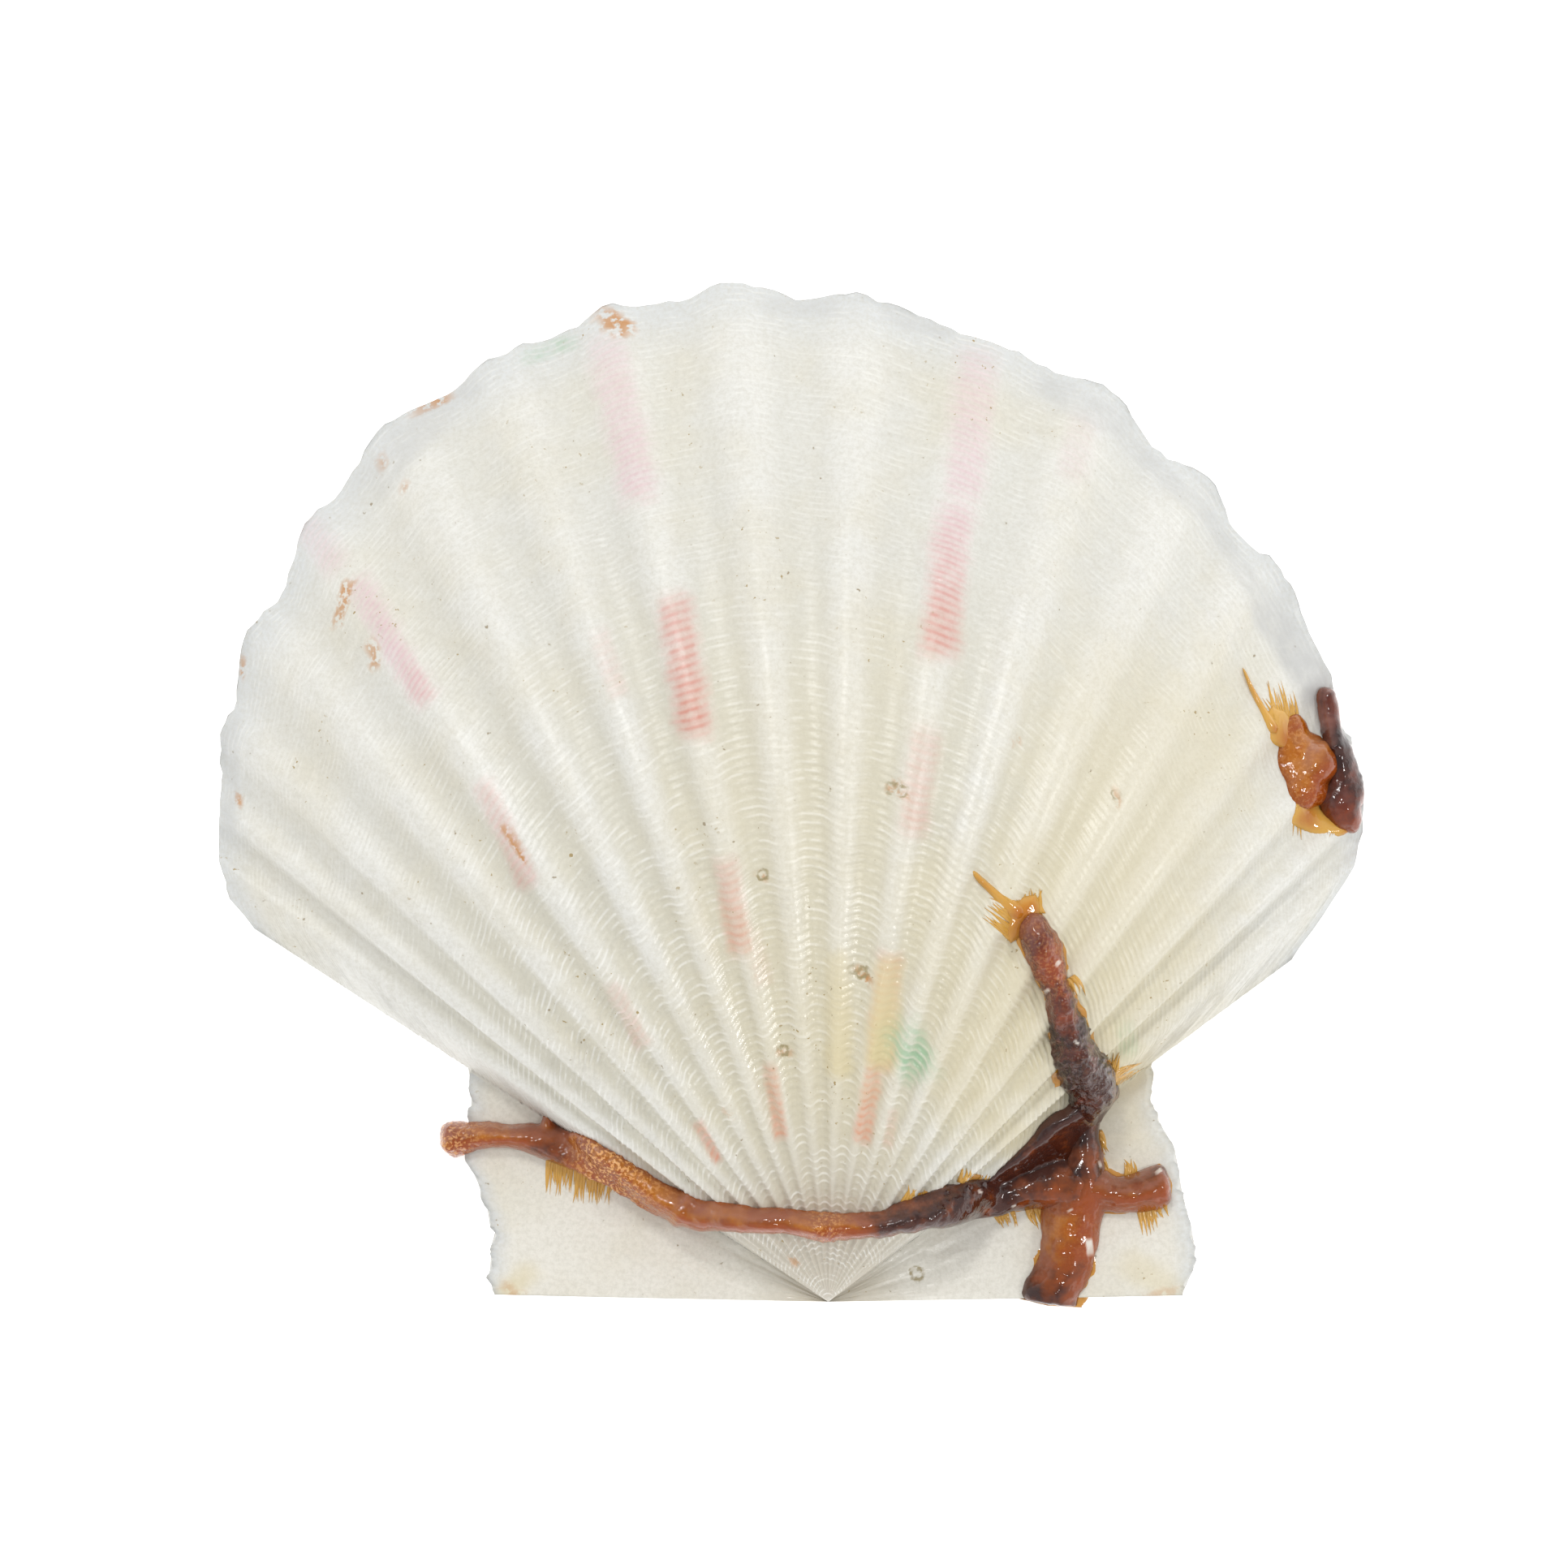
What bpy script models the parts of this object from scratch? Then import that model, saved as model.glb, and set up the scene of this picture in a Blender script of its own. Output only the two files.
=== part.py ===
"""A scallop's domed valve, 100 mm wide, lying hollow side down, with beads of dried glue on it.

Metres. +X runs along the hinge, +Y from the hinge to the free margin, and +Z up, out of the domed side.
The origin is under the middle of the valve, on the surface that it lies on.

The shell is laid out as a fan of rays from the beak, the pointed tip on the hinge line. An angle is in
degrees from +X, and a reach is a distance from the beak, both as seen from above.
"""

import math

import bmesh
import bpy
from mathutils import Vector
from mathutils.bvhtree import BVHTree

MM = 0.001
UP = Vector((0.0, 0.0, 1.0))
COLLECTION = "scallop_valve"
GUIDES = "scallop_valve_guides"

# Plan of the shell
BEAK = Vector((3.4, -44.3, 0.0)) * MM
RIGHT_FLANK = 36.4
LEFT_FLANK = 147.0
RIGHT_CORNER_REACH = 50.2
LEFT_CORNER_REACH = 59.7
RIGHT_NOTCH_REACH = 35.1
LEFT_NOTCH_REACH = 37.2

# Each rib's angle, and the reach in millimetres at which it meets the free margin
RIBS = (
    (39.6, 59.6),
    (42.9, 63.4),
    (47.2, 66.7),
    (53.2, 70.6),
    (60.0, 75.4),
    (66.9, 79.3),
    (73.9, 83.2),
    (81.0, 85.2),
    (88.4, 87.4),
    (95.4, 89.2),
    (102.8, 88.6),
    (109.3, 87.3),
    (116.2, 85.6),
    (123.4, 81.8),
    (129.8, 77.6),
    (136.2, 72.6),
    (140.9, 68.5),
    (144.2, 65.2),
)

# Outline of each ear from its notch to the hinge line: angle, and reach in millimetres
RIGHT_EAR = (
    (RIGHT_FLANK, RIGHT_NOTCH_REACH),
    (32.0, 33.4),
    (28.0, 32.8),
    (22.0, 32.6),
    (13.0, 32.1),
    (5.5, 32.0),
    (0.9, 30.8),
)
LEFT_EAR = (
    (LEFT_FLANK, LEFT_NOTCH_REACH),
    (151.0, 35.8),
    (155.1, 34.7),
    (158.7, 34.0),
    (161.5, 32.3),
    (165.0, 30.7),
    (170.0, 29.6),
    (176.0, 29.7),
    (178.9, 28.9),
)

# Heights of the dome. Its profile from beak to margin is share ** RISE * (1 - share ** FALL).
DOME_HEIGHT = 17.9 * MM
PROFILE_RISE = 0.62
PROFILE_FALL = 1.9
CROWN_POWER = 2.2
CROWN_ROUNDNESS = 0.6
EDGE_AT_BEAK = 2.1 * MM
EDGE_TAPER = 0.009
EAR_DROOP = 0.8 * MM
EAR_DROOP_POWER = 3
EAR_BEND = 12.0
RIB_HEIGHT = 0.75 * MM
RIB_GROWTH = 40.0 * MM
CREST_SHARPNESS = 1.3
MARGIN_UPRIGHT = 6

# Wall of the shell. The flat foot runs along the hinge line and both flanks.
HINGE_THICKNESS = 2.0 * MM
MARGIN_THICKNESS = 1.1 * MM
FOOT_WIDTH = 0.045
HINGE_PLATE_DEPTH = 6.0 * MM
INNER_RIB_GROWTH = 3

# Facets
COLUMNS_PER_RIB = 4
FLANK_COLUMNS = 2
EAR_COLUMNS = 6
NOTCH_ROW = 12
ROWS = 21
ROW_CROWDING = 1.25
MERGE = 0.001 * MM
SHARP_EDGE = 50.0

# Glue. A station is x, y, width and height in millimetres, and each bead follows the shell under it.
GLUE_GAP = 0.33 * MM
GLUE_RING = 10
GLUE_STEP = 1.1 * MM
FINE_STEPS = 20
EVENING = 3
PROBE_ABOVE = 2.0
PROBE_BELOW = 0.6
EDGE_SKIN = 0.25 * MM
CREST_SKIN = 0.9 * MM
END_BLUNTNESS = 0.2
FACET_SPOTS = 5
CLEARING_ROUNDS = 6
SKY = 60.0 * MM
DRAW_IN = 0.01
BAND = (
    (-29.8, -30.3, 2.4, 2.2),
    (-28.5, -30.1, 3.0, 2.6),
    (-27.1, -29.9, 2.6, 2.5),
    (-24.7, -29.8, 2.4, 2.4),
    (-22.3, -30.1, 2.8, 2.5),
    (-20.3, -30.6, 3.3, 2.8),
    (-18.0, -31.3, 3.3, 2.9),
    (-15.7, -32.3, 3.0, 2.8),
    (-13.3, -33.7, 2.7, 2.6),
    (-11.1, -35.0, 2.6, 2.5),
    (-9.2, -35.8, 2.5, 2.4),
    (-6.9, -36.3, 2.5, 2.4),
    (-4.1, -36.6, 2.4, 2.4),
    (-0.9, -36.8, 2.4, 2.4),
    (1.9, -37.1, 2.6, 2.5),
    (4.8, -37.3, 2.5, 2.4),
    (7.6, -37.1, 2.5, 2.5),
    (10.0, -36.4, 2.8, 2.7),
    (12.6, -35.7, 3.1, 2.9),
    (15.3, -35.2, 3.4, 3.0),
    (17.9, -34.9, 3.5, 3.1),
    (20.2, -34.4, 4.1, 3.2),
    (22.5, -34.0, 4.7, 3.3),
    (24.6, -34.1, 4.8, 3.3),
    (26.4, -34.6, 4.2, 3.0),
    (28.0, -35.0, 3.4, 2.8),
    (29.7, -34.9, 3.4, 2.8),
    (31.8, -34.4, 3.5, 2.8),
    (33.2, -34.1, 3.3, 2.6),
)
LOWER_BRANCH = (
    (22.9, -43.9, 4.6, 1.8),
    (23.4, -42.8, 4.7, 2.0),
    (24.1, -41.2, 4.4, 2.2),
    (24.5, -39.1, 4.7, 2.5),
    (24.5, -37.8, 4.8, 2.7),
)
UPPER_BRANCH = (
    (25.7, -30.6, 3.0, 2.5),
    (25.7, -29.2, 2.8, 2.6),
    (25.6, -27.6, 3.1, 2.8),
    (25.5, -26.0, 4.1, 3.2),
    (25.3, -24.2, 4.8, 3.4),
    (24.7, -22.1, 3.8, 3.2),
    (23.8, -19.9, 3.3, 3.0),
    (22.8, -17.0, 3.0, 2.8),
    (22.3, -15.4, 3.5, 2.8),
    (21.8, -13.3, 4.1, 2.8),
    (21.5, -11.5, 3.1, 2.4),
    (21.2, -10.4, 1.8, 1.6),
)
PATCH = (
    (43.4, 6.2, 1.8, 1.3),
    (43.8, 4.9, 3.3, 1.7),
    (45.0, 3.2, 5.8, 2.3),
    (45.8, 1.5, 6.6, 2.6),
    (46.7, -0.4, 6.2, 2.6),
    (47.8, -1.8, 4.1, 2.2),
    (48.7, -2.7, 2.1, 1.5),
)
ROD_TOP = (46.6, 9.1)
ROD_FOOT = (47.3, 3.6)
ROD_RADIUS = 0.85 * MM
ROD_LIFT = 0.5 * MM
ROD_SIDES = 10


def mix(first, second, share):
    """The value that lies a share of the way from the first to the second."""
    return first + (second - first) * share


def ease(share):
    """A smooth rise from 0 to 1."""
    share = min(max(share, 0.0), 1.0)
    return share * share * (3.0 - 2.0 * share)


def read_curve(stations, place):
    """Catmull-Rom curve through the stations, read at a place counted in stations."""
    last = len(stations) - 1
    start = min(int(place), last - 1)
    turn = place - start
    before = stations[max(start - 1, 0)]
    first = stations[start]
    second = stations[start + 1]
    after = stations[min(start + 2, last)]
    return tuple(
        0.5 * (2 * p1 + (p2 - p0) * turn + (2 * p0 - 5 * p1 + 4 * p2 - p3) * turn**2
               + (3 * p1 - p0 - 3 * p2 + p3) * turn**3)
        for p0, p1, p2, p3 in zip(before, first, second, after)
    )


def outline_reach(outline, angle):
    """Reach in metres of an outline, given as (angle, reach in millimetres) pairs in either order."""
    rising = outline if outline[0][0] < outline[-1][0] else outline[::-1]
    angle = min(max(angle, rising[0][0]), rising[-1][0])
    start = 0
    while start < len(rising) - 2 and angle > rising[start + 1][0]:
        start += 1
    share = (angle - rising[start][0]) / (rising[start + 1][0] - rising[start][0])
    return read_curve([(reach,) for _, reach in rising], start + share)[0] * MM


MARGIN = ((RIGHT_FLANK, RIGHT_CORNER_REACH), *RIBS, (LEFT_FLANK, LEFT_CORNER_REACH))
MIDDLE_RAY = (RIGHT_FLANK + LEFT_FLANK) / 2
HALF_FAN = (LEFT_FLANK - RIGHT_FLANK) / 2
PROFILE_PEAK_SHARE = (PROFILE_RISE / (PROFILE_RISE + PROFILE_FALL)) ** (1 / PROFILE_FALL)
PROFILE_PEAK = PROFILE_PEAK_SHARE**PROFILE_RISE * (1 - PROFILE_PEAK_SHARE**PROFILE_FALL)


def plan_point(angle, reach):
    """The spot on the ground at an angle and a reach from the beak."""
    return BEAK + reach * Vector((math.cos(math.radians(angle)), math.sin(math.radians(angle)), 0.0))


def on_ear(angle):
    return angle < RIGHT_FLANK or angle > LEFT_FLANK


def across_fan(angle):
    """-1 along the right flank, 0 on the middle ray and 1 along the left flank."""
    return min(max((angle - MIDDLE_RAY) / HALF_FAN, -1.0), 1.0)


def dome_point(angle, reach):
    """The outer surface of the dome as it would be without ribs."""
    share = min(reach / outline_reach(MARGIN, angle), 1.0)
    crown = (1.0 - abs(across_fan(angle)) ** CROWN_POWER) ** CROWN_ROUNDNESS
    profile = share**PROFILE_RISE * (1.0 - share**PROFILE_FALL) / PROFILE_PEAK
    edge = EDGE_AT_BEAK - EDGE_TAPER * reach
    return plan_point(angle, reach) + UP * (edge + DOME_HEIGHT * crown * profile)


def dome_normal(angle, reach):
    """The direction out of the dome, read a little inside its edges, where it is smooth."""
    turn = 0.5
    step = 0.3 * MM
    angle = min(max(angle, RIGHT_FLANK + 2 * turn), LEFT_FLANK - 2 * turn)
    reach = min(max(reach, 4 * step), outline_reach(MARGIN, angle) - 2 * step)
    outward = dome_point(angle, reach + step) - dome_point(angle, reach - step)
    sideways = dome_point(angle + turn, reach) - dome_point(angle - turn, reach)
    return outward.cross(sideways).normalized()


def rib_wave(angle):
    """1 on a rib's crest, -1 in the middle of a groove and 0 along both flanks."""
    crests = [crest for crest, _ in RIBS]
    if angle <= crests[0]:
        return ease((angle - RIGHT_FLANK) / (crests[0] - RIGHT_FLANK))
    for low, high in zip(crests, crests[1:]):
        if angle <= high:
            turn = (angle - low) / (high - low)
            return 2.0 * (0.5 + 0.5 * math.cos(2 * math.pi * turn)) ** CREST_SHARPNESS - 1.0
    return ease((LEFT_FLANK - angle) / (LEFT_FLANK - crests[-1]))


def rib_lift(angle, reach):
    return rib_wave(angle) * RIB_HEIGHT * (1.0 - math.exp(-reach / RIB_GROWTH))


def ear_height(angle, reach):
    """Height of an ear's upper side, which droops toward the ear's free edge."""
    outline = RIGHT_EAR if angle < RIGHT_FLANK else LEFT_EAR
    share = reach / outline_reach(outline, angle)
    off_flank = min(abs(angle - outline[0][0]) / EAR_BEND, 1.0)
    return EDGE_AT_BEAK - EDGE_TAPER * reach - EAR_DROOP * ease(off_flank) * share**EAR_DROOP_POWER


def outer_point(angle, reach):
    """The outer surface: an ear, or the dome with its ribs, which stand straight up at the margin."""
    if on_ear(angle):
        return plan_point(angle, reach) + UP * ear_height(angle, reach)
    share = reach / outline_reach(MARGIN, angle)
    direction = dome_normal(angle, reach).lerp(UP, share**MARGIN_UPRIGHT).normalized()
    return dome_point(angle, reach) + direction * rib_lift(angle, reach)


def inner_point(angle, reach):
    """The inner surface: flat under the ears, the hinge and both flanks, and hollow under the dome."""
    if on_ear(angle) or reach == 0.0:
        return plan_point(angle, reach)
    share = reach / outline_reach(MARGIN, angle)
    foot = ease((1.0 - abs(across_fan(angle))) / FOOT_WIDTH)
    wall = mix(HINGE_THICKNESS, MARGIN_THICKNESS, share) * foot
    point = dome_point(angle, reach) - dome_normal(angle, reach) * wall
    plate = ease((point.y - BEAK.y) / HINGE_PLATE_DEPTH)
    point.z = max((point.z + rib_lift(angle, reach) * share**INNER_RIB_GROWTH) * foot * plate, 0.0)
    return point


def column_angles():
    """Angles of the dome's columns of facets: on each crest, in each groove and evenly between them."""
    stops = [(RIGHT_FLANK, FLANK_COLUMNS)]
    stops += [(crest, COLUMNS_PER_RIB) for crest, _ in RIBS[:-1]]
    stops += [(RIBS[-1][0], FLANK_COLUMNS), (LEFT_FLANK, 0)]
    angles = []
    for (low, count), (high, _) in zip(stops, stops[1:]):
        angles += [mix(low, high, step / count) for step in range(count)]
    return angles + [LEFT_FLANK]


def dome_reach(angle, row):
    """Reach of a row of facets. The first rows are shared with the ears, up to their notches."""
    margin = outline_reach(MARGIN, angle)
    right_share = RIGHT_NOTCH_REACH / RIGHT_CORNER_REACH
    left_share = LEFT_NOTCH_REACH / LEFT_CORNER_REACH
    notch_share = mix(right_share, left_share, 0.5 + 0.5 * across_fan(angle))
    if row <= NOTCH_ROW:
        return margin * notch_share * (row / NOTCH_ROW) ** ROW_CROWDING
    return margin * mix(notch_share, 1.0, (row - NOTCH_ROW) / (ROWS - NOTCH_ROW))


def ear_place(outline, column, row):
    """Angle and reach of a corner of an ear's facets, from the flank to the hinge line."""
    angle = mix(outline[0][0], outline[-1][0], column / EAR_COLUMNS)
    return angle, outline_reach(outline, angle) * (row / NOTCH_ROW) ** ROW_CROWDING


def add_patch(bm, columns, rows, place):
    """Adds a grid laid flat on the fan, and notes each corner's angle and reach for later shaping."""
    angle_of = bm.verts.layers.float["angle"]
    reach_of = bm.verts.layers.float["reach"]
    grid = bmesh.ops.create_grid(bm, x_segments=columns, y_segments=rows, size=0.5)
    for vert in grid["verts"]:
        column = round((vert.co.x + 0.5) * columns)
        row = round((vert.co.y + 0.5) * rows)
        angle, reach = place(column, row)
        vert[angle_of] = angle
        vert[reach_of] = reach
        vert.co = plan_point(angle, reach)


def outer_sheet():
    """The outer surface of dome and ears as one open sheet with its faces up."""
    bm = bmesh.new()
    angle_of = bm.verts.layers.float.new("angle")
    reach_of = bm.verts.layers.float.new("reach")
    angles = column_angles()
    add_patch(bm, len(angles) - 1, ROWS, lambda c, r: (angles[c], dome_reach(angles[c], r)))
    add_patch(bm, EAR_COLUMNS, NOTCH_ROW, lambda c, r: ear_place(RIGHT_EAR, c, r))
    add_patch(bm, EAR_COLUMNS, NOTCH_ROW, lambda c, r: ear_place(LEFT_EAR, c, r))
    bmesh.ops.remove_doubles(bm, verts=bm.verts, dist=MERGE)
    bm.normal_update()
    bmesh.ops.reverse_faces(bm, faces=[face for face in bm.faces if face.normal.z < 0.0])
    for vert in bm.verts:
        vert.co = outer_point(vert[angle_of], vert[reach_of])
    bm.normal_update()
    return bm


def thicken(bm):
    """Closes the outer sheet with the inner surface and a narrow wall all round the edge."""
    angle_of = bm.verts.layers.float["angle"]
    reach_of = bm.verts.layers.float["reach"]
    grown = bmesh.ops.extrude_face_region(bm, geom=bm.faces[:], use_keep_orig=True)["geom"]
    for vert in (item for item in grown if isinstance(item, bmesh.types.BMVert)):
        vert.co = inner_point(vert[angle_of], vert[reach_of])
    bmesh.ops.recalc_face_normals(bm, faces=bm.faces)


def shell_under(tree, spot):
    """The shell's surface straight under a spot. One past the shell's edge is first drawn in over it."""
    probe = Vector((spot.x, spot.y, SKY))
    hit = tree.ray_cast(probe, -UP)[0]
    while hit is None:
        probe = probe.lerp(UP * SKY, DRAW_IN)
        hit = tree.ray_cast(probe, -UP)[0]
    return Vector((spot.x, spot.y, hit.z))


def facet_spots(face):
    """Spots spread evenly over a triangle."""
    first, second, third = (vert.co for vert in face.verts)
    for left in range(FACET_SPOTS + 1):
        for right in range(FACET_SPOTS + 1 - left):
            yield first + (second - first) * (left / FACET_SPOTS) + (third - first) * (right / FACET_SPOTS)


def way_clear(tree, spot):
    """The shortest move that takes a spot on the shell, or sunk into its wall, out to the gap from it."""
    near, normal, _, distance = tree.find_nearest(spot)
    if distance > MARGIN_THICKNESS:
        return Vector()
    away = spot - near
    if away.dot(normal) < -MERGE:
        return normal * (GLUE_GAP + distance)
    return away.normalized() * max(GLUE_GAP - distance, 0.0)


def push_clear(bm, tree):
    """Moves a bead's facets off the shell where they come closer to it than the gap."""
    bmesh.ops.triangulate(bm, faces=bm.faces)
    for _ in range(CLEARING_ROUNDS):
        pushes = {vert: Vector() for vert in bm.verts}
        for face in bm.faces:
            push = max((way_clear(tree, spot) for spot in facet_spots(face)), key=lambda way: way.length)
            for vert in face.verts:
                pushes[vert] = max(pushes[vert], push, key=lambda way: way.length)
        for vert, push in pushes.items():
            vert.co += push


def even_stations(route):
    """Stations about GLUE_STEP apart on a smooth curve through a route."""
    fine = [read_curve(route, step / FINE_STEPS) for step in range(FINE_STEPS * (len(route) - 1) + 1)]
    lengths = [0.0]
    for first, second in zip(fine, fine[1:]):
        lengths.append(lengths[-1] + math.dist(first[:2], second[:2]) * MM)
    count = max(round(lengths[-1] / GLUE_STEP), 2)
    picked = []
    for step in range(count + 1):
        wanted = lengths[-1] * step / count
        picked.append(fine[min(range(len(fine)), key=lambda k: abs(lengths[k] - wanted))])
    return [tuple(value * MM for value in station) for station in picked]


def bead_directions(stations, index):
    """The directions along and across a bead at one station, seen from above."""
    x0, y0, _, _ = stations[max(index - 1, 0)]
    x1, y1, _, _ = stations[min(index + 1, len(stations) - 1)]
    along = Vector((x1 - x0, y1 - y0, 0.0)).normalized()
    return along, along.cross(UP)


def evened(points):
    """Points whose heights are averaged along the bead, because thick glue bridges small dips."""
    result = []
    for index, point in enumerate(points):
        nearby = points[max(index - EVENING, 0) : index + EVENING + 1]
        result.append(Vector((point.x, point.y, sum(near.z for near in nearby) / len(nearby))))
    return result


def bead_rings(tree, stations):
    """Closed outlines across a bead, one at each station: on the shell below and round on top."""
    frames = [(Vector((x, y, 0.0)), *bead_directions(stations, i)) for i, (x, y, _, _) in enumerate(stations)]
    widths = [width for _, _, width, _ in stations]
    lows = evened([shell_under(tree, spot - side * (w / 2)) for (spot, _, side), w in zip(frames, widths)])
    highs = evened([shell_under(tree, spot + side * (w / 2)) for (spot, _, side), w in zip(frames, widths)])
    rings = []
    for (_, along, _), low, high, (_, _, _, height) in zip(frames, lows, highs, stations):
        out = (high - low).cross(along).normalized()
        ring = []
        for corner in range(GLUE_RING):
            turn = 2 * math.pi * corner / GLUE_RING
            base = low.lerp(high, 0.5 + 0.5 * math.cos(turn))
            start = base + out * height * PROBE_ABOVE
            hit = tree.ray_cast(start, -out, height * (PROBE_ABOVE + PROBE_BELOW))[0]
            ground = (hit - base).dot(out) if hit else 0.0
            level = ground + GLUE_GAP
            if corner <= GLUE_RING // 2:
                skin = mix(EDGE_SKIN, CREST_SKIN, math.sin(turn))
                level = max(level + skin, height * math.sin(turn))
            ring.append(base + out * level)
        rings.append(ring)
    return rings


def bead_mesh(tree, route):
    """A bead along a route, with a blunt point at each end."""
    stations = even_stations(route)
    rings = bead_rings(tree, stations)
    for index, outward in ((0, -1), (len(stations) - 1, 1)):
        along, _ = bead_directions(stations, index)
        tip = sum(rings[index], Vector()) / GLUE_RING + along * (outward * END_BLUNTNESS * stations[index][2])
        rings.insert(0 if index == 0 else len(rings), [tip] * GLUE_RING)
    bm = bmesh.new()
    rows = len(rings) - 1
    grid = bmesh.ops.create_grid(bm, x_segments=GLUE_RING, y_segments=rows, size=0.5)
    for vert in grid["verts"]:
        corner = round((vert.co.x + 0.5) * GLUE_RING) % GLUE_RING
        vert.co = rings[round((vert.co.y + 0.5) * rows)][corner]
    bmesh.ops.remove_doubles(bm, verts=bm.verts, dist=MERGE)
    push_clear(bm, tree)
    bmesh.ops.recalc_face_normals(bm, faces=bm.faces)
    return bm


def rod_mesh(tree):
    """The short round end of a rod that stands out of the dab, lying on the shell."""
    ends = [
        shell_under(tree, Vector((x, y, 0.0)) * MM) + UP * (ROD_RADIUS + ROD_LIFT)
        for x, y in (ROD_FOOT, ROD_TOP)
    ]
    along = ends[1] - ends[0]
    bm = bmesh.new()
    bmesh.ops.create_cone(
        bm,
        cap_ends=True,
        segments=ROD_SIDES,
        radius1=ROD_RADIUS,
        radius2=0.8 * ROD_RADIUS,
        depth=along.length,
    )
    turned = along.to_track_quat("Z", "Y").to_matrix().to_4x4()
    turned.translation = (ends[0] + ends[1]) / 2
    bm.transform(turned)
    return bm


def principled(name, colour, roughness, metallic=0.0):
    material = bpy.data.materials.new(name)
    material.use_nodes = True
    shader = material.node_tree.nodes["Principled BSDF"]
    shader.inputs["Base Color"].default_value = (*colour, 1.0)
    shader.inputs["Roughness"].default_value = roughness
    shader.inputs["Metallic"].default_value = metallic
    return material


def add_object(name, bm, material, collection):
    """Makes a named object from a finished bmesh, smooth over its round parts."""
    mesh = bpy.data.meshes.new(name)
    bm.to_mesh(mesh)
    bm.free()
    mesh.shade_smooth()
    mesh.set_sharp_from_angle(angle=math.radians(SHARP_EDGE))
    mesh.materials.append(material)
    obj = bpy.data.objects.new(name, mesh)
    collection.objects.link(obj)
    return obj


def fuse(obj, helper):
    """Joins a hidden helper's solid to an object."""
    helper.hide_render = True
    helper.display_type = "WIRE"
    joined = obj.modifiers.new("fuse", "BOOLEAN")
    joined.operation = "UNION"
    joined.object = helper


def new_collection(name):
    collection = bpy.data.collections.new(name)
    bpy.context.scene.collection.children.link(collection)
    return collection


def main():
    for obj in list(bpy.data.objects):
        bpy.data.objects.remove(obj, do_unlink=True)
    parts = new_collection(COLLECTION)
    guides = new_collection(GUIDES)
    shell_material = principled("shell", (0.80, 0.78, 0.71), 0.42)
    amber = principled("glue_amber", (0.42, 0.12, 0.02), 0.18)
    dark = principled("glue_dark", (0.10, 0.03, 0.02), 0.20)

    valve = outer_sheet()
    tree = BVHTree.FromBMesh(valve)
    thicken(valve)
    add_object("valve", valve, shell_material, parts)
    add_object("glue_band", bead_mesh(tree, BAND), amber, parts)
    add_object("glue_branch_lower", bead_mesh(tree, LOWER_BRANCH), amber, parts)
    add_object("glue_branch_upper", bead_mesh(tree, UPPER_BRANCH), dark, parts)
    patch = add_object("glue_patch", bead_mesh(tree, PATCH), amber, parts)
    rod = add_object("rod_end", rod_mesh(tree), dark, guides)
    fuse(patch, rod)


main()
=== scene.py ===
"""Looks of a scallop's domed valve with beads of dried glue on it, seen from straight above.

Metres. +X runs along the hinge, +Y from the hinge to the free margin, and +Z up. The shell is laid out as a
fan of rays from the beak, the pointed tip on the hinge line: an angle is in degrees from +X, a reach is a
distance from the beak, and a share is a reach as a part of the way to the edge.
"""

import math

import bmesh
import bpy
import numpy as np
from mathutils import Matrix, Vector
from mathutils.bvhtree import BVHTree
from mathutils.kdtree import KDTree


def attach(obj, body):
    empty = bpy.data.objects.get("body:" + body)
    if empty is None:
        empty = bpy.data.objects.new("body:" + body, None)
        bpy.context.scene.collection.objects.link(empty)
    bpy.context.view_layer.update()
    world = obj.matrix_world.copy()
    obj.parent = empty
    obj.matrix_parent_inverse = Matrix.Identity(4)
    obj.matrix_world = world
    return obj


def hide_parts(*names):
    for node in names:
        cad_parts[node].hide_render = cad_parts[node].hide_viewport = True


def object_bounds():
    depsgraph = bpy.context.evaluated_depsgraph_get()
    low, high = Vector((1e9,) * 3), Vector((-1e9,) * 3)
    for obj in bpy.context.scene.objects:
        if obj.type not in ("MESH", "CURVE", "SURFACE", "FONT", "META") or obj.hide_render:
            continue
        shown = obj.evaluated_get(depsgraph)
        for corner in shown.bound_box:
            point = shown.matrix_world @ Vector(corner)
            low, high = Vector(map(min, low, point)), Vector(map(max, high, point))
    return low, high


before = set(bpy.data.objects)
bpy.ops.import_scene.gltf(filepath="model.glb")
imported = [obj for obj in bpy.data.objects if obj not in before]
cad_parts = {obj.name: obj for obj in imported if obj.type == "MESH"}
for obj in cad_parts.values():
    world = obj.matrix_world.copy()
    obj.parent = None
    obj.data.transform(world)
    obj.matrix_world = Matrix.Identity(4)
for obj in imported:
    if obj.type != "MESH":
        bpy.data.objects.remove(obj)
CAD_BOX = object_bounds()

MM = 0.001
UP = np.array((0.0, 0.0, 1.0))

# The view: straight down, with the picture's width at the level of the shell's margin
SENSOR = 36.0
CAMERA_HEIGHT = 0.75
PICTURE_WIDTH = 136.73 * MM
PICTURE_MIDDLE = (-0.46 * MM, 0.81 * MM)
MARGIN_LEVEL = 1.5 * MM

# The studio's light: its strength at the sides and straight above, and the angles from straight above
# between which it changes
SKY_SIDES = 0.95
SKY_MIDDLE = 0.56
SKY_RIM = 50.0
SKY_CORE = 22.0
# Lamps: name, place, size across and power
LAMPS = (
    ("top_softbox", (-0.1, 0.4, 0.75), 0.12, 1.7),
    ("right_softbox", (0.55, -0.05, 0.5), 0.1, 0.85),
    ("left_lamp", (-0.3, 0.15, 0.7), 0.05, 0.5),
    ("front_lamp", (0.12, -0.3, 0.8), 0.04, 0.32),
)
FLOOR_GLOW = 0.46
FLOOR_HALF = 1.5
FLOOR_GAP = 0.05 * MM

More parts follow.
